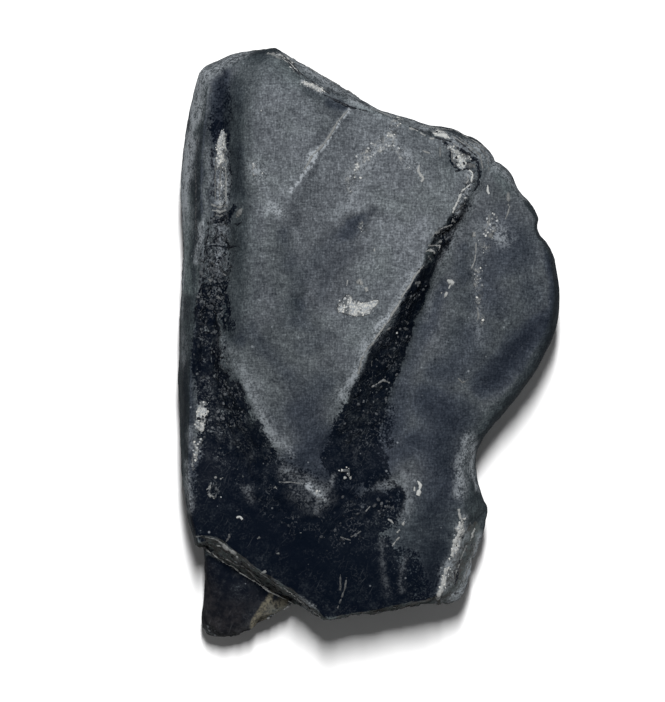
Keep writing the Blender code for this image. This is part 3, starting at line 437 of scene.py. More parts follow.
def depth_below_top(places, cell):
    """How far each place lies below the highest one near it, in a grid of square cells."""
    columns = np.floor(places[:, :2] / cell).astype(int)
    columns -= columns.min(axis=0) - 1
    top = np.full(columns.max(axis=0) + 2, -np.inf)
    np.maximum.at(top, (columns[:, 0], columns[:, 1]), places[:, 2])
    for axis in (0, 1):
        top = np.maximum(top, np.maximum(np.roll(top, 1, axis), np.roll(top, -1, axis)))
    return top[columns[:, 0], columns[:, 1]] - places[:, 2]


# Where the marks reach. Each pair is where a ramp starts and ends: a place, depth or height in mm, or
# how far the surface faces a way, from -1 for right away from it to 1 for straight to it
MARKS_FADE_DOWN = (1.5, 0.4)  # depth below the top
TOP_CELL = 0.5  # mm, the width of the cells in which the top is looked for
TURNED_UP = (0.04, 0.14)
NOT_TURNED_DOWN = (-0.35, -0.05)
STEEP = (0, 0.625)
ROOT_STARTS = (-9.0, -12.0)
FACING_ROOT = (0.25, 0.55)
BREAKS_START = (-11.0, -12.0)
STUMP_UNDER_SLAB = (5.6, 4.8)
FACING_DOWN = (0, 0.4)
REST_STAYS_FLAT = (0, 0.6)
# Steep faces get a thinner film and come out darker: partly the walls' own tone, partly painted shade on
# faces turned away from the light above
WALL_THIN_FILM_AND_SHADE = 0.8
BACK_THINNESS = 0.5
BACK_STAIN = 0.35
BREAK_CRUMBLE = 0.4
ROOT_STRIAE = 0.5

places, normals = corners_and_normals(skin.data)
loose = wandering(places)
along, height = places[:, 1], places[:, 2]
near_top = ramp(depth_below_top(places, TOP_CELL), *MARKS_FADE_DOWN)
upper = ramp(normals[:, 2], *NOT_TURNED_DOWN) * np.maximum(near_top, ramp(normals[:, 2], *TURNED_UP))
walls = ramp(1 - np.abs(normals[:, 2]), *STEEP)
root = ramp(along, *ROOT_STARTS)
break_walls = walls * ramp(-normals[:, 1], *FACING_ROOT) * ramp(along, *BREAKS_START)
back = ramp(-normals[:, 2], *FACING_DOWN)


def soft_mark(strokes):
    return upper * stroked(loose, strokes)


def firm_mark(strokes, within=upper):
    return within * stroked(loose, strokes, soft=False)


thin = np.maximum(soft_mark(THIN_FILM), WALL_THIN_FILM_AND_SHADE * walls)
# The film mark carries painted shading as well as the film's own tone: the broad shades darken hollows,
# troughs and pits and lighten the walls and slopes turned to the light
marks = {
    "film": (1 - np.maximum(thin, BACK_THINNESS * back)) * 2 ** soft_mark(TONES_AND_PAINTED_SHADING),
    "stain": np.maximum(firm_mark(BLACK_STAIN), BACK_STAIN * back),
    "wear": soft_mark(PALE_WEAR),
    "mineral": firm_mark(MINERAL),
    "crumble": np.maximum(firm_mark(CRUMBLE), BREAK_CRUMBLE * break_walls),
    "prisms": firm_mark(PRISMS),
    "bare": np.maximum(firm_mark(BARE_BREAK), break_walls),
    "amber": firm_mark(AMBER),
    "brown": firm_mark(BROWN_STONE, within=ramp(height, *STUMP_UNDER_SLAB)),
    "striae": np.maximum(np.maximum(walls, ROOT_STRIAE * root), soft_mark(GREEN_FACES)),
    "lifted": ramp(height, *REST_STAYS_FLAT),
}
for name, values in marks.items():
    keep_mark(skin.data, name, values)

# The skin's relief, in millimetres: swells, fine grain, lengthwise striae on the walls and the root,
# the enamel's prisms where the groove has broken open, crumbs, crusts and the grain of bare breaks
RELIEF = {
    "Swell Height": 0.16,
    "Swell Size": 2.4,
    "Grain Height": 0.06,
    "Grain Size": 0.5,
    "Striae Height": 0.16,
    "Striae Spacing": 0.6,
    "Prism Height": 0.3,
    "Prism Spacing": 0.32,
    "Crumb Height": 0.3,
    "Crumb Size": 0.62,
    "Crust Height": 0.1,
    "Break Height": 0.3,
    "Break Size": 0.8,
}
RELIEF_SEED = 0.0
# The finish paints raised places paler, partly as wear and partly as painted light on their tops
FULLY_RAISED = 0.12  # mm of relief at which a crest is rubbed bare
LENGTHWISE = (1, 0.1, 1)  # draws a noise out along the tooth


def put(tree, kind, inputs=(), **settings):
    """Adds a node, sets it up, and fills or joins its inputs, which are given by name or by number."""
    node = tree.nodes.new(kind)
    for name, value in settings.items():
        setattr(node, name, value)
    for name, value in dict(inputs).items():
        if isinstance(value, bpy.types.NodeSocket):
            tree.links.new(value, node.inputs[name])
        else:
            node.inputs[name].default_value = value
    return node


def maths(tree, operation, *values):
    return put(tree, "ShaderNodeMath", enumerate(values), operation=operation).outputs[0]


def total(tree, *values, operation="ADD"):
    result = values[0]
    for value in values[1:]:
        result = maths(tree, operation, result, value)
    return result


def product(tree, *values):
    return total(tree, *values, operation="MULTIPLY")


def vector_maths(tree, operation, first, second):
    return put(tree, "ShaderNodeVectorMath", {0: first, 1: second}, operation=operation).outputs[0]


def scaled(tree, vector, by):
    return put(tree, "ShaderNodeVectorMath", {0: vector, "Scale": by}, operation="SCALE").outputs[0]


def noise_of(tree, place, size, detail, seed, roughness=0.55):
    """Noise from 0 to 1 with features of the given size, in the units of place."""
    inputs = {"Vector": place, "W": seed, "Scale": maths(tree, "DIVIDE", 1.0, size), "Detail": detail}
    node = put(tree, "ShaderNodeTexNoise", {**inputs, "Roughness": roughness}, noise_dimensions="4D")
    return node.outputs[0]


def swing(tree, value, reach):
    """A noise from 0 to 1 taken to either side of zero."""
    return product(tree, maths(tree, "SUBTRACT", value, 0.5), reach)


def swing_vector(tree, place, size, reach, seed):
    """A vector that wanders to either side of zero."""
    inputs = {"Vector": place, "W": seed, "Scale": 1 / size, "Detail": 1.0}
    node = put(tree, "ShaderNodeTexNoise", inputs, noise_dimensions="4D")
    return scaled(tree, vector_maths(tree, "SUBTRACT", node.outputs[1], (0.5, 0.5, 0.5)), reach)


def sockets(tree, inputs, outputs):
    """Gives a tree its sockets. Each is a name with its kind and, for an input, its first value."""
    for name, (kind, value) in inputs.items():
        socket = tree.interface.new_socket(name, in_out="INPUT", socket_type="NodeSocket" + kind)
        if value is not None:
            socket.default_value = value
    for name, kind in outputs.items():
        tree.interface.new_socket(name, in_out="OUTPUT", socket_type="NodeSocket" + kind)
    return put(tree, "NodeGroupInput").outputs, put(tree, "NodeGroupOutput").inputs


def named_mark(tree, name):
    return put(tree, "GeometryNodeInputNamedAttribute", {"Name": name}, data_type="FLOAT").outputs[0]


def set_off(tree, geometry, **move):
    """The geometry moved by its Offset or to its Position."""
    return put(tree, "GeometryNodeSetPosition", {"Geometry": geometry, **move}).outputs[0]


def finished(tree, geometry, finish, end):
    """Ends a Geometry Nodes tree: makes its instances real and gives them their material."""
    whole = put(tree, "GeometryNodeRealizeInstances", {0: geometry}).outputs[0]
    dressed = put(tree, "GeometryNodeSetMaterial", {0: whole, "Material": finish}).outputs[0]
    tree.links.new(dressed, end)
    return tree


def relief_tree():
    tree = bpy.data.node_groups.new("tooth_relief", "GeometryNodeTree")
    sizes = {name: ("Float", value) for name, value in RELIEF.items()}
    inputs = {"Skin": ("Geometry", None), **sizes, "Seed": ("Float", 0.0), "Finish": ("Material", None)}
    given, result = sockets(tree, inputs, {"Skin": "Geometry"})
    place = scaled(tree, put(tree, "GeometryNodeInputPosition").outputs[0], 1 / MM)
    lengthwise = vector_maths(tree, "MULTIPLY", place, LENGTHWISE)

    def part(size, height, mark, detail, shift, place=place):
        seed = maths(tree, "ADD", given["Seed"], shift)
        rise = swing(tree, noise_of(tree, place, given[size], detail, seed), given[height])
        return product(tree, rise, named_mark(tree, mark)) if mark else rise

    cells = {"Vector": place, "W": given["Seed"], "Scale": maths(tree, "DIVIDE", 1.0, given["Crumb Size"])}
    cells = put(tree, "ShaderNodeTexVoronoi", cells, voronoi_dimensions="4D")
    draw = put(tree, "ShaderNodeSeparateXYZ", {0: cells.outputs["Color"]}).outputs[0]
    lump = total(tree, maths(tree, "SUBTRACT", 0.55, cells.outputs["Distance"]), swing(tree, draw, 1.2))
    fine = total(
        tree,
        product(tree, lump, given["Crumb Height"], named_mark(tree, "crumble")),
        part("Grain Size", "Grain Height", "", 3.0, 1.7),
        part("Striae Spacing", "Striae Height", "striae", 2.0, 3.1, lengthwise),
        part("Prism Spacing", "Prism Height", "prisms", 1.0, 4.6, lengthwise),
        part("Break Size", "Break Height", "bare", 3.0, 6.2),
    )
    swells = part("Swell Size", "Swell Height", "", 2.0, 0.0)
    crust = product(tree, named_mark(tree, "mineral"), given["Crust Height"])
    rise = product(tree, total(tree, fine, swells, crust), named_mark(tree, "lifted"))
    # How far the relief stands up, which the finish paints paler: partly wear, partly painted light on raised
    # tops
    raised = maths(tree, "DIVIDE", fine, FULLY_RAISED)
    kept = {"Geometry": given["Skin"], "Name": "raised", "Value": raised}
    kept = put(tree, "GeometryNodeStoreNamedAttribute", kept, data_type="FLOAT", domain="POINT").outputs[0]
    move = scaled(tree, put(tree, "GeometryNodeInputNormal").outputs[0], product(tree, rise, MM))
    smooth = put(tree, "GeometryNodeSetShadeSmooth", {0: set_off(tree, kept, Offset=move)}).outputs[0]
    return finished(tree, smooth, given["Finish"], result["Skin"])


def grown(piece, tree, values):
    """Runs a Geometry Nodes tree on a piece with the given inputs, and leaves it with the plain result."""
    modifier = piece.modifiers.new(tree.name, "NODES")
    modifier.node_group = tree
    for item in tree.interface.items_tree:
        if item.item_type == "SOCKET" and item.in_out == "INPUT" and item.name in values:
            modifier[item.identifier] = values[item.name]
    piece.data = plain_mesh(piece, piece.name)


# The finish of the skin: blue-black enamel under a thin grey film, which is thick on the plateau and
# thin towards the root, worn pale on crests, stained through in hollows, speckled and scratched.
# Colours are linear.
# Besides the film's own tone, its colour carries painted shading: darker in hollows, troughs, pits and
# between crumbs, paler on raised relief, on the walls and on slopes turned to the light
BLACK_ENAMEL = (0.0020, 0.0038, 0.0080, 1)
GREY_FILM = (0.087, 0.094, 0.101, 1)
OLIVE_FILM = (0.085, 0.094, 0.097, 1)
WALL_FILM = (0.077, 0.094, 0.094, 1)
THIN_FILM_BLUE = (0.080, 0.094, 0.118, 1)
PALE_FILM = (0.247, 0.268, 0.288, 1)
CREAM_CRUST = (0.46, 0.46, 0.435, 1)
BROWN_BREAK = (0.053, 0.050, 0.047, 1)
AMBER_STONE = (0.112, 0.103, 0.077, 1)
BROWN_STONE_DARK = (0.0065, 0.007, 0.009, 1)
BROWN_STONE_LIGHT = (0.023, 0.0215, 0.023, 1)
# What makes the finish uneven: each noise's size in mm, detail, seed and roughness
UNEVENNESS = {
    "blotch": (2.6, 3.0, 3.0),
    "mottle": (0.7, 5.0, 5.0, 0.68),
    "grain": (0.12, 1.0, 7.0, 0.6),
    "haze": (1.3, 4.0, 37.0, 0.6),
    "hue": (4.0, 3.0, 10.0),
    "crumbling": (1.0, 2.0, 15.0),
    "pores": (0.1, 3.0, 29.0, 0.7),
    "broken pores": (0.15, 3.0, 31.0, 0.7),
}
THREADS = {"threads": ((1, 0.2, 0.2), 8.0), "weft": ((0.2, 1, 0.2), 9.0)}  # finest lines, two ways
THREAD_WIDTH = 0.09
# How far the noises swing what lies over the black: where the film ends, its haze on the stain, and
# the film's thickness, in doublings
COVER_SWINGS = {"mottle": 1.7, "grain": 1.6}
HAZE_SWINGS = {"haze": 0.9, "mottle": 1.5, "grain": 0.7}
FILM_SWINGS = {"blotch": 1.2, "mottle": 2.1, "grain": 3.4, "threads": 1.3, "weft": 1.3}
THICKEST_FILM = 2.0
BROWN_ON_BREAKS = 0.8
BROWN_ON_STUMP = 0.85
SPECK_STRENGTH = 0.55
SCRATCH_STRENGTH = 0.14
SKIN_GLOSS = 0.01
FINE_CRUMB = 0.34  # mm
COARSE_CRUMB = 0.8  # mm


def blended(tree, share, under, over):
    return put(tree, "ShaderNodeMix", {0: share, 6: under, 7: over}, data_type="RGBA").outputs[2]


def stepped(tree, value, low, high, start=0.0, end=1.0):
    """value taken smoothly from low..high to start..end."""
    inputs = {"Value": value, "From Min": low, "From Max": high, "To Min": start, "To Max": end}
    return put(tree, "ShaderNodeMapRange", inputs, interpolation_type="SMOOTHSTEP").outputs[0]


def clamped(tree, value, most=1.0):
    return put(tree, "ShaderNodeClamp", {0: value, "Max": most}).outputs[0]


def new_group(name, floats):
    """A shader group that turns a place, and the given numbers, into one mark."""
    tree = bpy.data.node_groups.new(name, "ShaderNodeTree")
    inputs = {"Place": ("Vector", None), **{key: ("Float", value) for key, value in floats.items()}}
    return tree, *sockets(tree, inputs, {"Mark": "Float"})


def ragged_mark_group():
    """A mark broken up at its edge, as a film or a crust is."""
    sizes = {"Mark": 0.0, "Grain Size": 0.3, "Raggedness": 0.5, "Cut": 0.5, "Softness": 0.2, "Seed": 0.0}
    tree, given, result = new_group("ragged_mark", sizes)
    grain = noise_of(tree, given["Place"], given["Grain Size"], 4.0, given["Seed"], 0.7)
    low = maths(tree, "SUBTRACT", given["Cut"], given["Softness"])
    high = maths(tree, "ADD", given["Cut"], given["Softness"])
    torn = total(tree, given["Mark"], swing(tree, grain, given["Raggedness"]))
    tree.links.new(stepped(tree, torn, low, high), result["Mark"])
    return tree


def fine_specks_group():
    """Pale specks, each in a cell of its own, that leave most cells empty."""
    tree, given, result = new_group("fine_specks", {"Spacing": 0.6, "Speck Size": 0.06, "Share": 0.3})
    scale = maths(tree, "DIVIDE", 1.0, given["Spacing"])
    cells = put(tree, "ShaderNodeTexVoronoi", {"Vector": given["Place"], "Scale": scale})
    draw = put(tree, "ShaderNodeSeparateColor", {0: cells.outputs["Color"]})
    reach = maths(tree, "DIVIDE", given["Speck Size"], given["Spacing"])
    reach = product(tree, reach, maths(tree, "ADD", draw.outputs[2], 0.4))
    spot = stepped(tree, cells.outputs["Distance"], product(tree, reach, 0.5), reach, 1.0, 0.0)
    chosen = maths(tree, "LESS_THAN", draw.outputs[0], given["Share"])
    tree.links.new(product(tree, spot, chosen, draw.outputs[1]), result["Mark"])
    return tree


def hair_scratches_group():
    """Short thin scratches along one direction, in patches."""
    tree, given, result = new_group("hair_scratches", {"Length": 1.2, "Width": 0.1, "Turn": 0.0, "Seed": 0.0})
    turned = {"Vector": given["Place"], "Angle": given["Turn"]}
    turned = put(tree, "ShaderNodeVectorRotate", turned, rotation_type="Z_AXIS").outputs[0]
    parts = put(tree, "ShaderNodeSeparateXYZ", {0: turned}).outputs
    across = maths(tree, "DIVIDE", parts[0], given["Width"])
    along = maths(tree, "DIVIDE", parts[1], given["Length"])
    place = put(tree, "ShaderNodeCombineXYZ", {0: across, 1: along, 2: parts[2]}).outputs[0]
    streaks = noise_of(tree, place, 1.0, 1.0, given["Seed"])
    patches = noise_of(tree, given["Place"], 2.0, 2.0, given["Seed"])
    lines = product(tree, stepped(tree, streaks, 0.62, 0.76), stepped(tree, patches, 0.45, 0.6))
    tree.links.new(lines, result["Mark"])
    return tree


def fretted_lines_group():
    """Thin lines that wind about, such as the edges of crumbs and the cracks of a dry skin."""
    tree, given, result = new_group("fretted_lines", {"Size": 0.5, "Width": 0.05, "Seed": 0.0})
    field = noise_of(tree, given["Place"], given["Size"], 2.0, given["Seed"])
    off = maths(tree, "ABSOLUTE", maths(tree, "SUBTRACT", field, 0.5))
    lines = stepped(tree, off, 0.0, given["Width"], 1.0, 0.0)
    patches = noise_of(tree, given["Place"], product(tree, given["Size"], 2.6), 2.0, given["Seed"])
    tree.links.new(product(tree, lines, stepped(tree, patches, 0.45, 0.6)), result["Mark"])
    return tree


def crumb_cells_group():
    """Crumbs side by side: each is a small dome of its own tone, palest at its middle, and the gaps between
    them are at zero. The fall towards the gaps is painted shade.
    """
    tree, given, result = new_group("crumb_cells", {"Size": 0.3, "Seed": 0.0})
    bent = vector_maths(tree, "ADD", given["Place"], swing_vector(tree, given["Place"], 0.3, 0.35, 41.0))
    cells = {"Vector": bent, "W": given["Seed"], "Scale": maths(tree, "DIVIDE", 1.0, given["Size"])}
    cells = put(tree, "ShaderNodeTexVoronoi", cells, voronoi_dimensions="4D")
    draw = put(tree, "ShaderNodeSeparateColor", {0: cells.outputs["Color"]}).outputs[0]
    dome = stepped(tree, cells.outputs["Distance"], 0.15, 0.6, 1.0, 0.0)
    tree.links.new(product(tree, dome, maths(tree, "POWER", draw, 1.2)), result["Mark"])
    return tree


def mark_of(tree, place, group, **inputs):
    """One mark from a shader group at the given place."""
    inputs = {name.replace("_", " "): value for name, value in inputs.items()}
    return put(tree, "ShaderNodeGroup", {"Place": place, **inputs}, node_tree=group).outputs[0]


def new_finish(name, gloss):
    """A material with its tree, its shader and the place in millimetres that its patterns read."""
    material = bpy.data.materials.new(name)
    material.use_nodes = True
    tree = material.node_tree
    shader = tree.nodes["Principled BSDF"]
    shader.inputs["Specular IOR Level"].default_value = gloss
    place = scaled(tree, put(tree, "ShaderNodeTexCoord").outputs["Object"], 1 / MM)
    return material, tree, shader, place


def mark_in(tree, name):
    return put(tree, "ShaderNodeAttribute", attribute_name=name).outputs["Fac"]


def fossil_enamel():
    material, tree, shader, place = new_finish("fossil_enamel", SKIN_GLOSS)
    names = ("film", "stain", "wear", "mineral", "crumble", "bare", "amber", "raised", "striae", "brown")
    mark = {name: mark_in(tree, name) for name in names}
    uneven = {name: noise_of(tree, place, *sizes) for name, sizes in UNEVENNESS.items()}
    for name, (stretch, seed) in THREADS.items():
        drawn_out = vector_maths(tree, "MULTIPLY", place, stretch)
        uneven[name] = noise_of(tree, drawn_out, THREAD_WIDTH, 0.0, seed)
    mottle, grain = uneven["mottle"], uneven["grain"]

    def swings(reaches):
        return [swing(tree, uneven[name], reach) for name, reach in reaches.items()]

    # The crumbs' fall from their middles to their gaps is painted shade
    crumb_cells = crumb_cells_group()
    fine_crumbs = mark_of(tree, place, crumb_cells, Size=FINE_CRUMB, Seed=12.0)
    coarse_crumbs = mark_of(tree, place, crumb_cells, Size=COARSE_CRUMB, Seed=14.0)
    crumbs = total(tree, product(tree, fine_crumbs, 0.5), product(tree, coarse_crumbs, 0.75))
    crumbs = product(tree, crumbs, stepped(tree, uneven["crumbling"], 0.38, 0.62, 0.5, 1.5))

    # The film: gone where the stain is, kept on what stands up, and with a haze of it everywhere. Keeping it
    # on raised relief and on the middles of crumbs, and losing it in their gaps, is partly painted light and
    # shade
    cover = total(
        tree,
        maths(tree, "SUBTRACT", 1.25, product(tree, mark["stain"], 1.25)),
        product(tree, mark["raised"], 0.22),
        product(tree, mark["crumble"], maths(tree, "SUBTRACT", product(tree, crumbs, 2.0), 0.25)),
        *swings(COVER_SWINGS),
    )
    haze = stepped(tree, total(tree, *swings(HAZE_SWINGS)), -0.15, 0.55, 0.01, 0.32)
    cover = maths(tree, "MAXIMUM", stepped(tree, cover, 0.42, 0.92), haze)
    # Raised relief is painted paler still: painted light on its tops
    doublings = total(tree, *swings(FILM_SWINGS), product(tree, mark["raised"], 0.15))
    film = product(tree, cover, mark["film"], maths(tree, "POWER", 2.0, doublings))
    film = clamped(tree, film, THICKEST_FILM)
    tint = blended(tree, stepped(tree, uneven["hue"], 0.42, 0.62), GREY_FILM, OLIVE_FILM)
    tint = blended(tree, stepped(tree, mark["film"], 0.1, 0.65), THIN_FILM_BLUE, tint)
    tint = blended(tree, mark["striae"], tint, WALL_FILM)
    colour = vector_maths(tree, "ADD", scaled(tree, tint, film), BLACK_ENAMEL[:3])

    # The bare stone: brownish breaks, the stump and its amber seam
    ragged_mark = ragged_mark_group()
    bare = {"Mark": mark["bare"], "Grain_Size": 0.5, "Raggedness": 0.8, "Seed": 11.0}
    bare = mark_of(tree, place, ragged_mark, **bare)
    brown = blended(tree, stepped(tree, mottle, 0.35, 0.65), BROWN_BREAK, tint)
    colour = blended(tree, product(tree, bare, BROWN_ON_BREAKS), colour, brown)
    stone = blended(tree, stepped(tree, mottle, 0.38, 0.66), BROWN_STONE_DARK, BROWN_STONE_LIGHT)
    colour = blended(tree, product(tree, mark["brown"], BROWN_ON_STUMP), colour, stone)
    frost = total(tree, product(tree, mottle, 0.5), product(tree, grain, 0.5))
    seam = product(tree, mark["amber"], stepped(tree, frost, 0.4, 0.58, 0.3, 1.0))
    colour = blended(tree, seam, colour, AMBER_STONE)

    # What lies on top: rubbed crests, the paler tops of crumbs (partly worn, partly painted light), cream
    # crusts, specks, scratches and the lines between crumbs
    rubbed = product(tree, mark["wear"], stepped(tree, frost, 0.41, 0.6, 0.15, 1.65))
    lit_and_worn_crumb_tops = product(tree, mark["crumble"], stepped(tree, mark["raised"], 0.3, 1.8, 0.0, 0.45))
    rubbed = maths(tree, "MAXIMUM", rubbed, product(tree, lit_and_worn_crumb_tops, crumbs))
    colour = blended(tree, clamped(tree, rubbed), colour, PALE_FILM)
    crust = {"Mark": mark["mineral"], "Grain_Size": 0.35, "Raggedness": 1.6, "Softness": 0.15, "Seed": 17.0}
    crust = mark_of(tree, place, ragged_mark, **crust)
    cream = blended(tree, stepped(tree, grain, 0.35, 0.65), PALE_FILM, CREAM_CRUST)
    cream = blended(tree, stepped(tree, mottle, 0.4, 0.55), GREY_FILM, cream)
    colour = blended(tree, crust, colour, cream)
    specks = mark_of(tree, place, fine_specks_group(), Speck_Size=0.09, Share=0.25)
    bent = vector_maths(tree, "ADD", place, swing_vector(tree, place, 1.5, 0.8, 33.0))
    scratches = mark_of(tree, bent, hair_scratches_group(), Turn=0.5, Seed=19.0)
    lines = mark_of(tree, place, fretted_lines_group(), Size=0.35, Width=0.05, Seed=27.0)
    crumbly = maths(tree, "MAXIMUM", mark["crumble"], 0.08)
    lines = product(tree, lines, stepped(tree, grain, 0.4, 0.6, 0.1, 1.0), crumbly)
    scratches = product(tree, scratches, SCRATCH_STRENGTH)
    fine = maths(tree, "MAXIMUM", scratches, maths(tree, "MAXIMUM", specks, lines))
    colour = blended(tree, product(tree, fine, SPECK_STRENGTH), colour, PALE_FILM)
    tree.links.new(colour, shader.inputs["Base Color"])

    rough = total(
        tree,
        stepped(tree, film, 0.0, 1.0, 0.42, 0.56),
        product(tree, maths(tree, "MAXIMUM", crust, bare), 0.3),
        product(tree, mark["striae"], 0.35),
    )
    tree.links.new(rough, shader.inputs["Roughness"])

    broken = maths(tree, "MAXIMUM", mark["crumble"], crust)
    height = total(
        tree,
        product(tree, mottle, 0.05),
        product(tree, uneven["pores"], 0.012),
        product(tree, grain, 0.012),
        product(tree, broken, total(tree, crumbs, uneven["broken pores"]), 0.15),
        product(tree, fine, -0.01),
    )
    bump = put(tree, "ShaderNodeBump", {"Height": height, "Distance": MM, "Strength": 1.0})
    tree.links.new(bump.outputs[0], shader.inputs["Normal"])
    return material


grown(skin, relief_tree(), {**RELIEF, "Seed": RELIEF_SEED, "Finish": fossil_enamel()})
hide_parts("tooth")
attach(skin, "root")


# Chips, cracks and worn lines too thin for the skin's own mesh: slivers of pale mineral on the crests,
# dark cracks round the broken corner and the edges of thin layers. Each lies half sunk in the skin.

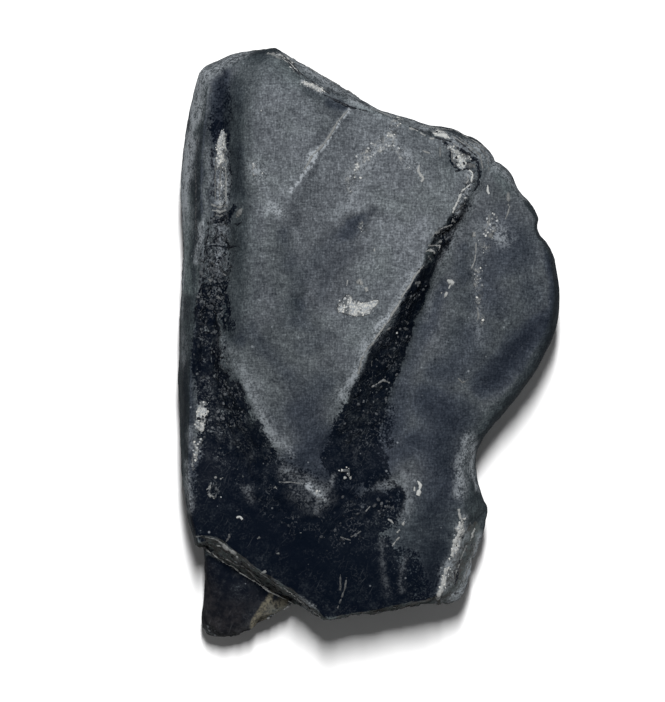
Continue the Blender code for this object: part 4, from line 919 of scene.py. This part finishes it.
# By the part of the tooth: a name, a shade from 0 for black to 1 for cream, and points along the chip
# (x, y, half width) in millimetres
CHIPS = {
    "groove": [
        ("first layer", 0.62, [(-10.6, 9.4, 0.061), (-10.1, 9.2, 0.097), (-9.5, 9.3, 0.07)]),
        ("second layer", 0.68, [(-10.5, 9, 0.061), (-10, 8.9, 0.11), (-9.6, 9, 0.061)]),
        ("third layer", 0.55, [(-10.4, 8.7, 0.061), (-9.9, 8.6, 0.097), (-9.5, 8.8, 0.061)]),
        ("crescent", 0, [(-10.4, 8.3, 0.07), (-10, 8.3, 0.18), (-9.5, 8.6, 0.16), (-9.2, 9.1, 0.12),
            (-9, 9.4, 0.07)]),
        ("knob", 0.55, [(-8.9, 8.5, 0.088), (-8.7, 8.8, 0.23), (-8.5, 9.1, 0.088)]),
        ("under the knob", 0.12, [(-9, 8.1, 0.053), (-8.8, 8, 0.07), (-8.5, 8.2, 0.053)]),
        ("lower lip", 0.05, [(-11.2, 6.5, 0.07), (-10.4, 6.6, 0.097), (-9.5, 6.5, 0.097),
            (-8.7, 6.6, 0.061)]),
        ("dark edge", 0.1, [(-10.8, 8.2, 0.061), (-10.8, 7.3, 0.088), (-11, 6.6, 0.07)]),
        ("flakes", 0.5, [(-10.6, 5.5, 0.11), (-10.4, 5.3, 0.07)]),
        ("flake", 0.55, [(-9.8, 4.7, 0.14), (-9.6, 4.6, 0.088)]),
        ("second flake", 0.5, [(-10.8, 4.4, 0.088), (-10.6, 4.2, 0.14)]),
        ("third flake", 0.45, [(-10.2, 3.2, 0.11), (-9.9, 3, 0.11)]),
        ("right prism's edge", 0.68, [(-9.6, 12.4, 0.068), (-9.6, 10.7, 0.078), (-9.6, 9.6, 0.061)]),
        ("middle prism", 0.5, [(-9.9, 12.2, 0.061), (-10, 11.1, 0.074), (-10, 9.7, 0.061)]),
        ("left prism", 0.46, [(-10.3, 12.3, 0.061), (-10.3, 10.9, 0.068), (-10.3, 9.6, 0.054)]),
    ],
    "wall": [
        ("dark line", 0.25, [(-11.5, 13.8, 0.053), (-11.6, 11.8, 0.07), (-11.6, 9.4, 0.07),
            (-11.6, 7, 0.061)]),
    ],
    "main ridge": [
        ("zigzag", 0.95, [(6.7, 11.7, 0.07), (7, 11.5, 0.079), (6.9, 10.9, 0.079), (6.7, 10.6, 0.079),
            (6.3, 10.3, 0.088)]),
        ("inner line", 0.7, [(6.6, 11.4, 0.061), (6.7, 11, 0.07), (6.5, 10.7, 0.061)]),
        ("pale line", 0.88, [(6.3, 10.3, 0.088), (6, 9.7, 0.097), (5.8, 9.2, 0.11), (5.6, 8.8, 0.088)]),
        ("dash", 0.95, [(6.4, 9.8, 0.061), (6.6, 9.8, 0.061)]),
        ("lens", 0.4, [(5.9, 8.9, 0.053), (6.2, 9.2, 0.11), (6.5, 9.5, 0.053)]),
        ("first shard", 0.66, [(4.7, 7.6, 0.061), (5, 7.8, 0.079), (5.6, 8, 0.061)]),
        ("knot", 0.6, [(5.6, 8.3, 0.11), (5.8, 8.2, 0.07)]),
        ("second shard", 0.55, [(4.2, 7.1, 0.079), (4.5, 7.4, 0.13), (4.9, 7.6, 0.079)]),
        ("third shard", 0.6, [(4.6, 6.8, 0.061), (4.9, 6.9, 0.079)]),
        ("fourth shard", 0.72, [(4, 6.6, 0.061), (4.4, 6.6, 0.088), (4.8, 6.6, 0.11), (4.7, 6.3, 0.07)]),
        ("fifth shard", 0.75, [(3.8, 6.2, 0.061), (4.2, 6.3, 0.097), (4.5, 6.1, 0.07)]),
        ("sixth shard", 0.5, [(4, 5.9, 0.12), (4.2, 5.6, 0.088)]),
        ("cut behind the shards", 0, [(3.8, 5.5, 0.07), (4.2, 5.9, 0.088), (4.6, 6.2, 0.07),
            (5, 6.8, 0.07)]),
    ],
    "crest": [
        ("edge", 0.68, [(3.7, 5.3, 0.061), (3.1, 4.6, 0.07), (2.8, 4, 0.07), (2.3, 3.3, 0.07),
            (2, 2.7, 0.07), (1.6, 2, 0.079), (1.2, 1.4, 0.079), (0.8, 0.9, 0.07), (0.4, 0.2, 0.07)]),
        ("lower edge", 0.6, [(0.4, 0.2, 0.07), (-0.1, -0.3, 0.07), (-0.5, -1.1, 0.07), (-0.7, -2, 0.061)]),
        ("lens", 0.5, [(3.1, 4.1, 0.12), (3.4, 4.1, 0.11)]),
        ("second lens", 0.5, [(1.2, 0.9, 0.07), (1.5, 1.1, 0.12)]),
    ],
    "flank": [
        ("curl", 0.6, [(0.2, -2.9, 0.061), (0.7, -2.6, 0.07), (1, -2.4, 0.079), (1.4, -2.6, 0.061)]),
        ("dot", 0.85, [(1.9, 0.8, 0.088), (1.9, 0.7, 0.088)]),
        ("crumb", 0.4, [(2.4, 1.6, 0.088), (2.7, 1.4, 0.07)]),
        ("second crumb", 0.4, [(2.3, 1.1, 0.088), (2.5, 1, 0.088)]),
        ("third crumb", 0.4, [(1.3, -0.7, 0.088), (1.5, -0.9, 0.07)]),
        ("fourth crumb", 0.4, [(0.2, -1.1, 0.079), (0.2, -1.5, 0.079)]),
    ],
    "rim": [
        ("inner edge", 0.12, [(2.7, 14.6, 0.053), (3.6, 14.3, 0.061), (4.4, 13.9, 0.061),
            (5.6, 13.6, 0.07)]),
        ("pale fleck", 0.72, [(2.7, 14.5, 0.061), (3.1, 14.4, 0.12), (3.3, 14.3, 0.07)]),
        ("second fleck", 0.72, [(3.5, 14.2, 0.07), (3.8, 14, 0.097)]),
        ("third fleck", 0.75, [(4.1, 13.8, 0.07), (4.4, 13.8, 0.07)]),
        ("white chip", 0.95, [(4.4, 14, 0.061), (4.9, 14.1, 0.14), (5.2, 14, 0.2), (5.5, 13.8, 0.061)]),
        ("first layer", 0.6, [(5.6, 14, 0.053), (6.2, 13.6, 0.061), (6.9, 13, 0.061)]),
        ("second layer", 0.55, [(6.1, 13.9, 0.053), (6.7, 13.4, 0.061), (7.5, 12.7, 0.061),
            (7.7, 11.8, 0.053)]),
        ("third layer", 0.5, [(6.7, 13.7, 0.053), (7.5, 13.2, 0.07), (8, 12.6, 0.061), (8.1, 11.6, 0.053)]),
        ("dark layer", 0.2, [(5.8, 13.8, 0.053), (6.5, 13.3, 0.061), (7.3, 12.6, 0.061)]),
        ("outer edge", 0.6, [(3.5, 14.7, 0.061), (4.8, 14.5, 0.061), (5.8, 14.4, 0.061), (6.7, 13.9, 0.061),
            (7.4, 13.5, 0.061), (8, 13.1, 0.061)]),
        ("dark join", 0.2, [(4.2, 14.2, 0.053), (5, 14.4, 0.061), (5.5, 14.4, 0.053)]),
    ],
    "corner": [
        ("first scale", 0.66, [(5.7, 13.5, 0.088), (6, 13.3, 0.14)]),
        ("second scale", 0.74, [(5.7, 12.9, 0.11), (6, 12.9, 0.16)]),
        ("left edge", 0.5, [(5.6, 13.1, 0.061), (5.6, 12.6, 0.061), (5.6, 12.2, 0.061)]),
        ("hook", 0, [(6.8, 12.4, 0.061), (7.1, 12.4, 0.079), (7.4, 12.2, 0.088), (7.4, 11.4, 0.088),
            (7.4, 10.9, 0.088), (7.1, 10.3, 0.088)]),
        ("under the chip", 0, [(5.8, 11.6, 0.07), (6.3, 11.7, 0.07), (6.6, 11.8, 0.07), (7.1, 11.5, 0.07)]),
        ("scale in the hook", 0.48, [(6.7, 12, 0.16), (7.1, 12, 0.23)]),
        ("crack", 0.1, [(6.2, 13.1, 0.079), (6.7, 12.8, 0.088), (6.9, 12.7, 0.061)]),
    ],
    "lobe": [
        ("tick", 0.95, [(8, 10.7, 0.044), (8, 10.3, 0.079), (8.1, 10.1, 0.053)]),
        ("lens", 0.56, [(9.4, 10.3, 0.11), (9.4, 9.7, 0.14), (9.4, 9.3, 0.07)]),
        ("thread", 0.6, [(9.5, 9.3, 0.053), (9.4, 8.9, 0.061), (9.2, 8.4, 0.044)]),
        ("vertical dash", 0.6, [(8.1, 8.7, 0.053), (8.1, 8.1, 0.061), (7.8, 7.6, 0.07)]),
        ("dab", 0.66, [(7.1, 7.5, 0.14), (7.1, 7.2, 0.14)]),
        ("patch", 0.52, [(8.1, 7.4, 0.14), (8.3, 7.2, 0.18)]),
        ("scratch", 0.5, [(6, -2.3, 0.053), (6.3, -2.6, 0.061), (6.7, -2.4, 0.053)]),
    ],
    "third ridge": [
        ("dashes", 0.66, [(7.2, 6.8, 0.053), (7.2, 6.2, 0.061), (7.1, 5.5, 0.061), (6.9, 5.1, 0.053)]),
        ("lower dashes", 0.58, [(7.1, 4.1, 0.11), (7.2, 3.9, 0.079)]),
        ("foot", 0.6, [(7.3, 2.5, 0.053), (7.4, 1.9, 0.07), (7.3, 1.5, 0.044)]),
    ],
    "foot of the ridge": [
        ("chip", 0.86, [(5.3, 4.3, 0.14), (5.6, 4.1, 0.19), (5.4, 3.7, 0.14)]),
        ("second chip", 0.84, [(5.3, 3.5, 0.11), (5.1, 3.1, 0.088)]),
        ("crumb", 0.7, [(4.9, 3.5, 0.079), (4.9, 3.4, 0.079)]),
    ],
    "plateau": [
        ("hook", 0.78, [(3.4, 12, 0.061), (3.3, 11.6, 0.097), (3.5, 11.3, 0.14), (3.7, 11.1, 0.11),
            (3.5, 10.9, 0.061)]),
        ("dash", 0.66, [(3.6, 13, 0.053), (3.8, 12.9, 0.07), (4.1, 12.8, 0.053)]),
        ("vertical dash", 0.56, [(4.8, 13.2, 0.053), (4.8, 12.6, 0.053)]),
        ("dot", 0.85, [(-7.2, 15.7, 0.07), (-7.2, 15.6, 0.07)]),
        ("small dash", 0.75, [(-1.4, 4.3, 0.07), (-1.5, 3.9, 0.044)]),
        ("dot by the ridge", 0.72, [(0.4, 6.4, 0.07), (0.4, 6.2, 0.07)]),
        ("chip above the crust", 0.7, [(-0.8, 4.1, 0.088), (-0.6, 4.2, 0.18), (-0.4, 3.9, 0.088)]),
        ("second chip", 0.7, [(-0.2, 3.8, 0.12), (-0.1, 3.5, 0.12)]),
    ],
    "biting edge": [
        ("dark line", 0.2, [(-5.9, 19.6, 0.061), (-5.2, 18.9, 0.079), (-4.6, 18.2, 0.079),
            (-3.5, 17.4, 0.079), (-2.6, 16.8, 0.07)]),
        ("pale line", 0.72, [(-5.8, 19.2, 0.061), (-5.2, 18.8, 0.061), (-4.6, 18.2, 0.053)]),
        ("outer line", 0.6, [(-5.7, 19.5, 0.061), (-4.6, 19, 0.07), (-3.4, 18.2, 0.07), (-1.9, 17.4, 0.07),
            (-0.2, 16.3, 0.061)]),
        ("upper crack", 0.2, [(-5.9, 19.6, 0.047), (-5.3, 18.8, 0.068), (-4.6, 18, 0.061)]),
        ("lower crack", 0.1, [(-3.1, 16.8, 0.061), (-2.1, 16.3, 0.088), (-1.2, 15.9, 0.095),
            (0.1, 15.6, 0.068)]),
    ],
    "biting step": [
        ("edge", 0.62, [(0.2, 15.8, 0.053), (1.3, 15.4, 0.061), (2.3, 15.1, 0.061)]),
    ],
    "tip": [
        ("frost", 0.6, [(-6.8, 19.5, 0.11), (-6.4, 19.5, 0.14), (-6, 19.2, 0.11)]),
    ],
    "root": [
        ("ring", 0.62, [(-10.4, -9, 0.11), (-10.2, -9, 0.088)]),
        ("ring, second", 0.62, [(-10, -9.1, 0.088), (-9.8, -9, 0.07)]),
        ("ring, third", 0.62, [(-10.6, -9.4, 0.079), (-10.7, -9.7, 0.11), (-10.9, -9.8, 0.088)]),
        ("ring, fourth", 0.62, [(-10.8, -10.1, 0.11), (-10.6, -10.3, 0.088)]),
        ("speck", 0.9, [(-8.9, -11.7, 0.079), (-8.7, -11.6, 0.11), (-8.5, -11.8, 0.097)]),
        ("frosted dash", 0.6, [(-6, -9.3, 0.044), (-5.2, -9.3, 0.053), (-4.4, -9.4, 0.061)]),
        ("dot", 0.8, [(-6.3, -9.6, 0.11), (-6.2, -9.7, 0.11)]),
        ("thread on the left", 0.45, [(-9.4, -12.8, 0.053), (-9.4, -13, 0.07), (-9.6, -13.3, 0.053)]),
        ("crumb", 0.5, [(-7.5, -13.1, 0.07), (-7.3, -13, 0.07)]),
        ("second crumb", 0.5, [(-6.2, -14.1, 0.061), (-6, -14.1, 0.07)]),
        ("third crumb", 0.5, [(-4.6, -12.7, 0.088), (-4.5, -12.7, 0.07)]),
        ("bright speck", 1, [(-0.2, -10.6, 0.11), (-0.2, -10.6, 0.11)]),
        ("thread by the speck", 0.55, [(0.1, -10.9, 0.053), (-0.2, -11.3, 0.053)]),
        ("right mineral", 0.93, [(3.3, -9.2, 0.12), (3.5, -9.5, 0.18), (3.4, -9.9, 0.16),
            (3.3, -10.2, 0.12)]),
        ("right mineral's neighbour", 0.85, [(3.1, -9.6, 0.053), (3.1, -9.9, 0.079)]),
        ("third mineral", 0.85, [(-1.7, -9, 0.081), (-1.5, -9, 0.11)]),
        ("fourth mineral", 0.8, [(-1.2, -8.9, 0.081), (-1.2, -9.1, 0.068)]),
        ("star", 0.42, [(-1.9, -13, 0.054), (-1.6, -13.1, 0.061), (-1.2, -13.2, 0.047)]),
        ("star's arm", 0.42, [(-1.2, -13, 0.047), (-0.8, -12.8, 0.054), (-0.5, -12.6, 0.041)]),
        ("thread", 0.38, [(-1.9, -15.5, 0.054), (-1.9, -16.2, 0.068), (-1.9, -16.6, 0.054)]),
        ("second thread", 0.42, [(-1.5, -15.7, 0.054), (-1.6, -16.5, 0.068), (-1.9, -17.3, 0.061),
            (-2.1, -17.8, 0.047)]),
    ],
    "hollow": [
        ("chip", 0.72, [(1.3, -11.8, 0.053), (1.5, -11.9, 0.079), (1.7, -12.1, 0.061)]),
    ],
    "rim of the hollow": [
        ("first chip", 0.74, [(2.4, -11.9, 0.07), (2.3, -12.2, 0.11)]),
        ("second chip", 0.7, [(2.1, -12.5, 0.07), (1.9, -12.7, 0.07)]),
        ("third chip", 0.66, [(2.1, -13, 0.053), (1.8, -13.3, 0.079), (1.6, -13.6, 0.088)]),
    ],
    "slab break": [
        ("lens", 0.62, [(-11, -13, 0.053), (-10.2, -13.2, 0.11), (-9.6, -13.7, 0.19), (-9, -14.1, 0.19),
            (-8.8, -14.5, 0.07)]),
        ("end line", 0.5, [(-11.6, -13, 0.053), (-11.2, -12.9, 0.053)]),
        ("spot", 0.72, [(-10.2, -13.6, 0.079), (-10, -13.6, 0.07)]),
        ("lower line", 0.78, [(-11, -13.9, 0.053), (-10.6, -14.2, 0.061), (-10, -14.6, 0.07),
            (-9.6, -14.9, 0.061), (-9.1, -15.1, 0.07), (-8.7, -15.5, 0.07), (-8, -15.9, 0.07),
            (-7.2, -16.4, 0.061), (-6.7, -16.8, 0.053)]),
        ("lower line's end", 0.78, [(-6.7, -16.8, 0.053), (-5.8, -17.2, 0.053), (-5.1, -17.6, 0.061)]),
        ("second line", 0.64, [(-10, -14.4, 0.053), (-9.5, -14.6, 0.07), (-9, -14.9, 0.07),
            (-8.5, -15, 0.07), (-7.9, -15.5, 0.07), (-7.2, -16.3, 0.061), (-6.8, -16.6, 0.053)]),
        ("third line", 0.45, [(-8.5, -14.5, 0.053), (-7.9, -15, 0.07), (-7.2, -15.5, 0.07),
            (-6.5, -16, 0.07), (-5.8, -16.5, 0.053)]),
        ("knob", 0.62, [(-7.2, -15.4, 0.07), (-6.9, -15.3, 0.088)]),
        ("dark line", 0.05, [(-8.8, -14.7, 0.061), (-8, -15.3, 0.07), (-7.2, -15.9, 0.07),
            (-6.2, -16.6, 0.07), (-5.4, -17.2, 0.053)]),
        ("upper end", 0.66, [(-5.9, -16.3, 0.07), (-5.2, -16.8, 0.11), (-4.6, -17.4, 0.11),
            (-4.2, -17.9, 0.07)]),
        ("end facet", 0.66, [(-4.4, -18, 0.14), (-4, -18.1, 0.19), (-4, -18.4, 0.14)]),
        ("end edge", 0.8, [(-4.1, -18.6, 0.07), (-3.5, -18.6, 0.088), (-2.9, -18.8, 0.061)]),
        ("end, lower tip", 0.5, [(-4.6, -17.3, 0.068), (-4.1, -17.8, 0.1), (-3.6, -18.1, 0.11),
            (-3.2, -18.4, 0.068)]),
    ],
    "stump": [
        ("lower edge", 0.66, [(-7.6, -19.2, 0.07), (-6.8, -18.6, 0.088), (-5.9, -18.1, 0.088),
            (-5.2, -17.6, 0.07)]),
        ("rim", 0.55, [(-5.1, -17.7, 0.054), (-5.9, -18.2, 0.074), (-6.5, -18.6, 0.054)]),
    ],
    "break facet": [
        ("top chip", 0.76, [(6.1, -11.1, 0.088), (6.1, -11.4, 0.088), (6.2, -11.8, 0.079)]),
        ("inner strip", 0.84, [(6.4, -12, 0.07), (6.2, -12.6, 0.19), (5.9, -13.2, 0.18), (5.7, -13.7, 0.14),
            (5.6, -14.3, 0.07)]),
        ("inner foot", 0.82, [(5.2, -15.1, 0.088), (5.1, -15.7, 0.12), (4.9, -16.4, 0.12),
            (4.7, -17, 0.14)]),
        ("second wedge", 0.72, [(7.2, -12.5, 0.11), (7, -12.9, 0.16), (6.9, -13.3, 0.079)]),
        ("dark streak", 0.2, [(6.1, -15, 0.07), (6, -15.7, 0.12), (5.8, -16.3, 0.088)]),
        ("thread", 0.6, [(6.6, -13.6, 0.053), (6.2, -14.6, 0.061), (5.9, -15.5, 0.053)]),
        ("outer thread", 0.58, [(7.3, -13.4, 0.053), (6.9, -14.7, 0.061), (6.4, -16.1, 0.053)]),
    ],
    "second ridge": [
        ("crest", 0.64, [(-1.4, 15.7, 0.054), (-2.1, 14.9, 0.081), (-2.6, 14, 0.1), (-3.1, 13.3, 0.11),
            (-3.8, 12.6, 0.074), (-4.3, 11.7, 0.047)]),
    ],
}
CHIP_STEP = 0.07  # mm, from ring to ring along a chip
CHIP_WANDER = 0.05  # mm that a chip strays from its line
CHIP_WANDER_LENGTH = 0.45  # mm over which it strays
CHIP_SINK = 0.45  # of its own half width
CHIP_SIDES = 7
CHIP_ROUGHNESS = (0.09, 0.05)  # size and reach of its surface's dents, in mm
CHIP_BREAKS = (0.22, 0.5, 1.3)  # mm between its thin and thick places, and how thin and thick they are
CHIP_PALE = (0.42, 0.43, 0.42, 1)
GRAIN_GLOSS = 0.1
ABOVE_TOOTH = 0.05  # m: where the look down on to the skin starts


def chip_paths():
    """The chips' lines as bare edges, each point with its chip's half width and shade."""
    corners, runs, widths, shades = [], [], [], []
    for _, shade, path in (chip for chips in CHIPS.values() for chip in chips):
        for step, (x, y, width) in enumerate(path):
            if step:
                runs.append((len(corners) - 1, len(corners)))
            corners.append((x * MM, y * MM, 0))
            widths.append(width)
            shades.append(shade)
    mesh = bpy.data.meshes.new("chips")
    mesh.from_pydata(corners, runs, [])
    keep_mark(mesh, "width", np.array(widths))
    keep_mark(mesh, "shade", np.array(shades))
    return mesh


def chip_tree():
    tree = bpy.data.node_groups.new("laid_chips", "GeometryNodeTree")
    inputs = {
        "Paths": ("Geometry", None),
        "Skin": ("Object", None),
        "Step": ("Float", 0.1),
        "Wander": ("Float", 0.1),
        "Sink": ("Float", 0.5),
        "Finish": ("Material", None),
    }
    given, result = sockets(tree, inputs, {"Chips": "Geometry"})
    lines = put(tree, "GeometryNodeMeshToCurve", {"Mesh": given["Paths"]}).outputs[0]
    lines = {"Curve": lines, "Length": product(tree, given["Step"], MM)}
    lines = put(tree, "GeometryNodeResampleCurve", lines, mode="LENGTH").outputs[0]
    position = put(tree, "GeometryNodeInputPosition").outputs[0]
    place = scaled(tree, position, 1 / MM)
    bend = swing_vector(tree, place, CHIP_WANDER_LENGTH, 1.0, 61.0)
    moved = set_off(tree, lines, Offset=scaled(tree, bend, product(tree, given["Wander"], 2 * MM)))
    skin_mesh = put(tree, "GeometryNodeObjectInfo", {"Object": given["Skin"]}, transform_space="ORIGINAL")
    fall = {
        "Target Geometry": skin_mesh.outputs["Geometry"],
        "Source Position": vector_maths(tree, "ADD", position, (0, 0, ABOVE_TOOTH)),
        "Ray Direction": (0, 0, -1),
        "Ray Length": 2 * ABOVE_TOOTH,
    }
    fall = put(tree, "GeometryNodeRaycast", fall, data_type="FLOAT").outputs
    width = named_mark(tree, "width")
    sunk = scaled(tree, fall["Hit Normal"], product(tree, width, given["Sink"], -MM))
    laid = set_off(tree, moved, Position=vector_maths(tree, "ADD", fall["Hit Position"], sunk))
    length, thinnest, thickest = CHIP_BREAKS
    breaks = stepped(tree, noise_of(tree, place, length, 2.0, 63.0), 0.35, 0.6, thinnest, thickest)
    edge = put(tree, "GeometryNodeCurvePrimitiveCircle", {"Resolution": CHIP_SIDES, "Radius": 1.0}).outputs[0]
    radius = product(tree, width, breaks, MM)
    tubes = {"Curve": laid, "Profile Curve": edge, "Scale": radius, "Fill Caps": True}
    tubes = put(tree, "GeometryNodeCurveToMesh", tubes).outputs[0]
    dents = scaled(tree, swing_vector(tree, place, *CHIP_ROUGHNESS, 65.0), MM)
    return finished(tree, set_off(tree, tubes, Offset=dents), given["Finish"], result["Chips"])


def grain_finish(name, dark, light, bias, speckling):
    """Each grain has a shade of its own between dark and light. A bias over 1 makes most of them dark."""
    material, tree, shader, place = new_finish(name, GRAIN_GLOSS)
    speckle = swing(tree, noise_of(tree, place, 0.08, 2.0, 45.0), speckling)
    shade = total(tree, maths(tree, "POWER", mark_in(tree, "shade"), bias), speckle)
    shade = clamped(tree, shade)
    tree.links.new(blended(tree, shade, dark, light), shader.inputs["Base Color"])
    tree.links.new(stepped(tree, shade, 0.0, 1.0, 0.4, 0.7), shader.inputs["Roughness"])
    return material


chips = placed("chips_and_cracks", chip_paths())
values = {
    "Skin": skin,
    "Step": CHIP_STEP,
    "Wander": CHIP_WANDER,
    "Sink": CHIP_SINK,
    "Finish": grain_finish("chip_mineral", BLACK_ENAMEL, CHIP_PALE, 2.2, 0.5),
}
grown(chips, chip_tree(), values)
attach(chips, "root")


# Loose grains that still cling to the skin: cream mineral on the crusts, and dark and grey crumbs of
# enamel where the groove, the main ridge and the breaks have crumbled. Each is a chip with flat faces.
GRAINS = {
    "mineral_grains": {"Mark": "mineral", "Per mm2": 30.0, "Size": 0.07, "Size Spread": 0.6, "Seed": 3},
    "enamel_crumbs": {"Mark": "crumble", "Per mm2": 18.0, "Size": 0.1, "Size Spread": 0.6, "Seed": 5},
}
GRAIN_SHAPE = (1.0, 0.8, 0.45)  # a grain's length, width and height over its size
GRAIN_TILT = 0.5  # radians to either side


def random_float(tree, low, high, seed):
    inputs = {2: low, 3: high, "Seed": seed}
    return put(tree, "FunctionNodeRandomValue", inputs, data_type="FLOAT").outputs[1]


def grain_tree():
    tree = bpy.data.node_groups.new("clinging_grains", "GeometryNodeTree")
    inputs = {
        "Skin": ("Geometry", None),
        "Mark": ("String", ""),
        "Per mm2": ("Float", 10.0),
        "Size": ("Float", 0.1),
        "Size Spread": ("Float", 0.5),
        "Seed": ("Int", 0),
        "Finish": ("Material", None),
    }
    given, result = sockets(tree, inputs, {"Grains": "Geometry"})

    def seed(shift):
        return maths(tree, "ADD", given["Seed"], shift)

    def size_at(operation):
        return product(tree, given["Size"], maths(tree, operation, 1.0, given["Size Spread"]))

    share = maths(tree, "POWER", named_mark(tree, given["Mark"]), 2.0)
    dense = product(tree, share, product(tree, given["Per mm2"], 1 / MM**2))
    spread = {"Mesh": given["Skin"], "Density": dense, "Seed": given["Seed"]}
    spread = put(tree, "GeometryNodeDistributePointsOnFaces", spread).outputs
    grain = put(tree, "GeometryNodeMeshIcoSphere", {"Radius": MM, "Subdivisions": 1}).outputs[0]
    grain = put(tree, "GeometryNodeTransform", {0: grain, "Scale": GRAIN_SHAPE}).outputs[0]
    size = random_float(tree, size_at("SUBTRACT"), size_at("ADD"), given["Seed"])
    turn = random_float(tree, 0.0, 2 * math.pi, seed(1.0))
    tilt = random_float(tree, -GRAIN_TILT, GRAIN_TILT, seed(2.0))
    spin = put(tree, "ShaderNodeCombineXYZ", {0: tilt, 2: turn}).outputs[0]
    turned = {0: spread["Rotation"], 1: spin}
    turned = put(tree, "FunctionNodeRotateRotation", turned, rotation_space="LOCAL").outputs[0]
    grains = {0: spread[0], "Instance": grain, "Rotation": turned, "Scale": size}
    grains = put(tree, "GeometryNodeInstanceOnPoints", grains).outputs[0]
    shaded = {"Geometry": grains, "Name": "shade", "Value": random_float(tree, 0.0, 1.0, seed(3.0))}
    shaded = put(tree, "GeometryNodeStoreNamedAttribute", shaded, data_type="FLOAT", domain="INSTANCE")
    return finished(tree, shaded.outputs[0], given["Finish"], result["Grains"])


grain_finishes = {
    "mineral_grains": grain_finish("mineral_grain", PALE_FILM, CREAM_CRUST, 0.8, 0.5),
    "enamel_crumbs": grain_finish("enamel_crumb", BLACK_ENAMEL, GREY_FILM, 1.6, 0.5),
}
clinging_grains = grain_tree()
for name, values in GRAINS.items():
    grains = placed(name, skin.data.copy())
    grown(grains, clinging_grains, {**values, "Finish": grain_finishes[name]})
    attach(grains, "root")


# The floor and the light: a wide white sheet, a soft light above it a little towards the biting
# edge, and white surroundings, as on a small studio table
FLOOR_DROP = 0.01 * MM  # below the tooth's rest
FLOOR_REACH = 2.0  # m
PAPER_WHITE = (0.9, 0.9, 0.9, 1)
ROOM_LIGHT = 0.12
floor = placed("floor", bpy.data.meshes.new("floor"))
bm = bmesh.new()
bmesh.ops.create_grid(bm, x_segments=1, y_segments=1, size=FLOOR_REACH)
bm.to_mesh(floor.data)
bm.free()
floor.location.z = -FLOOR_DROP
paper = bpy.data.materials.new("white_paper")
paper.use_nodes = True
for name, value in {"Base Color": PAPER_WHITE, "Roughness": 0.8, "Specular IOR Level": 0.1}.items():
    paper.node_tree.nodes["Principled BSDF"].inputs[name].default_value = value
floor.data.materials.append(paper)


def softbox(name, watts, size, place):
    light = placed(name, bpy.data.lights.new(name, "AREA"))
    light.data.energy = watts
    light.data.shape = "RECTANGLE"
    light.data.size, light.data.size_y = size
    light.location = place
    light.rotation_euler = (-light.location).to_track_quat("-Z", "Y").to_euler()
    light.visible_camera = False


softbox("key_softbox", 3.6, (0.03, 0.13), (0.004, 0.14, 0.5))

world = bpy.data.worlds.new("white_room")
world.use_nodes = True
world.node_tree.nodes["Background"].inputs["Color"].default_value = (1, 1, 1, 1)
world.node_tree.nodes["Background"].inputs["Strength"].default_value = ROOM_LIGHT
world.cycles_visibility.glossy = False
bpy.context.scene.world = world
bpy.context.scene.view_settings.view_transform = "Standard"

# The camera looks straight down from far off, with the frame's middle a little left of the tooth's
LENS = 500.0  # mm
SENSOR_WIDTH = 36.0  # mm
WIDEST_OUTLINE = 7 * MM  # its height above the floor
DISTANCE = 659 * MM  # to the widest outline
FRAME_MIDDLE = (-2.43 * MM, -0.47 * MM)
camera = placed("camera", bpy.data.cameras.new("camera"))
camera.data.lens = LENS
camera.data.sensor_width = SENSOR_WIDTH
camera.data.clip_start = 0.05
camera.data.clip_end = 10.0
camera.location = (*FRAME_MIDDLE, DISTANCE + WIDEST_OUTLINE)
bpy.context.scene.camera = camera
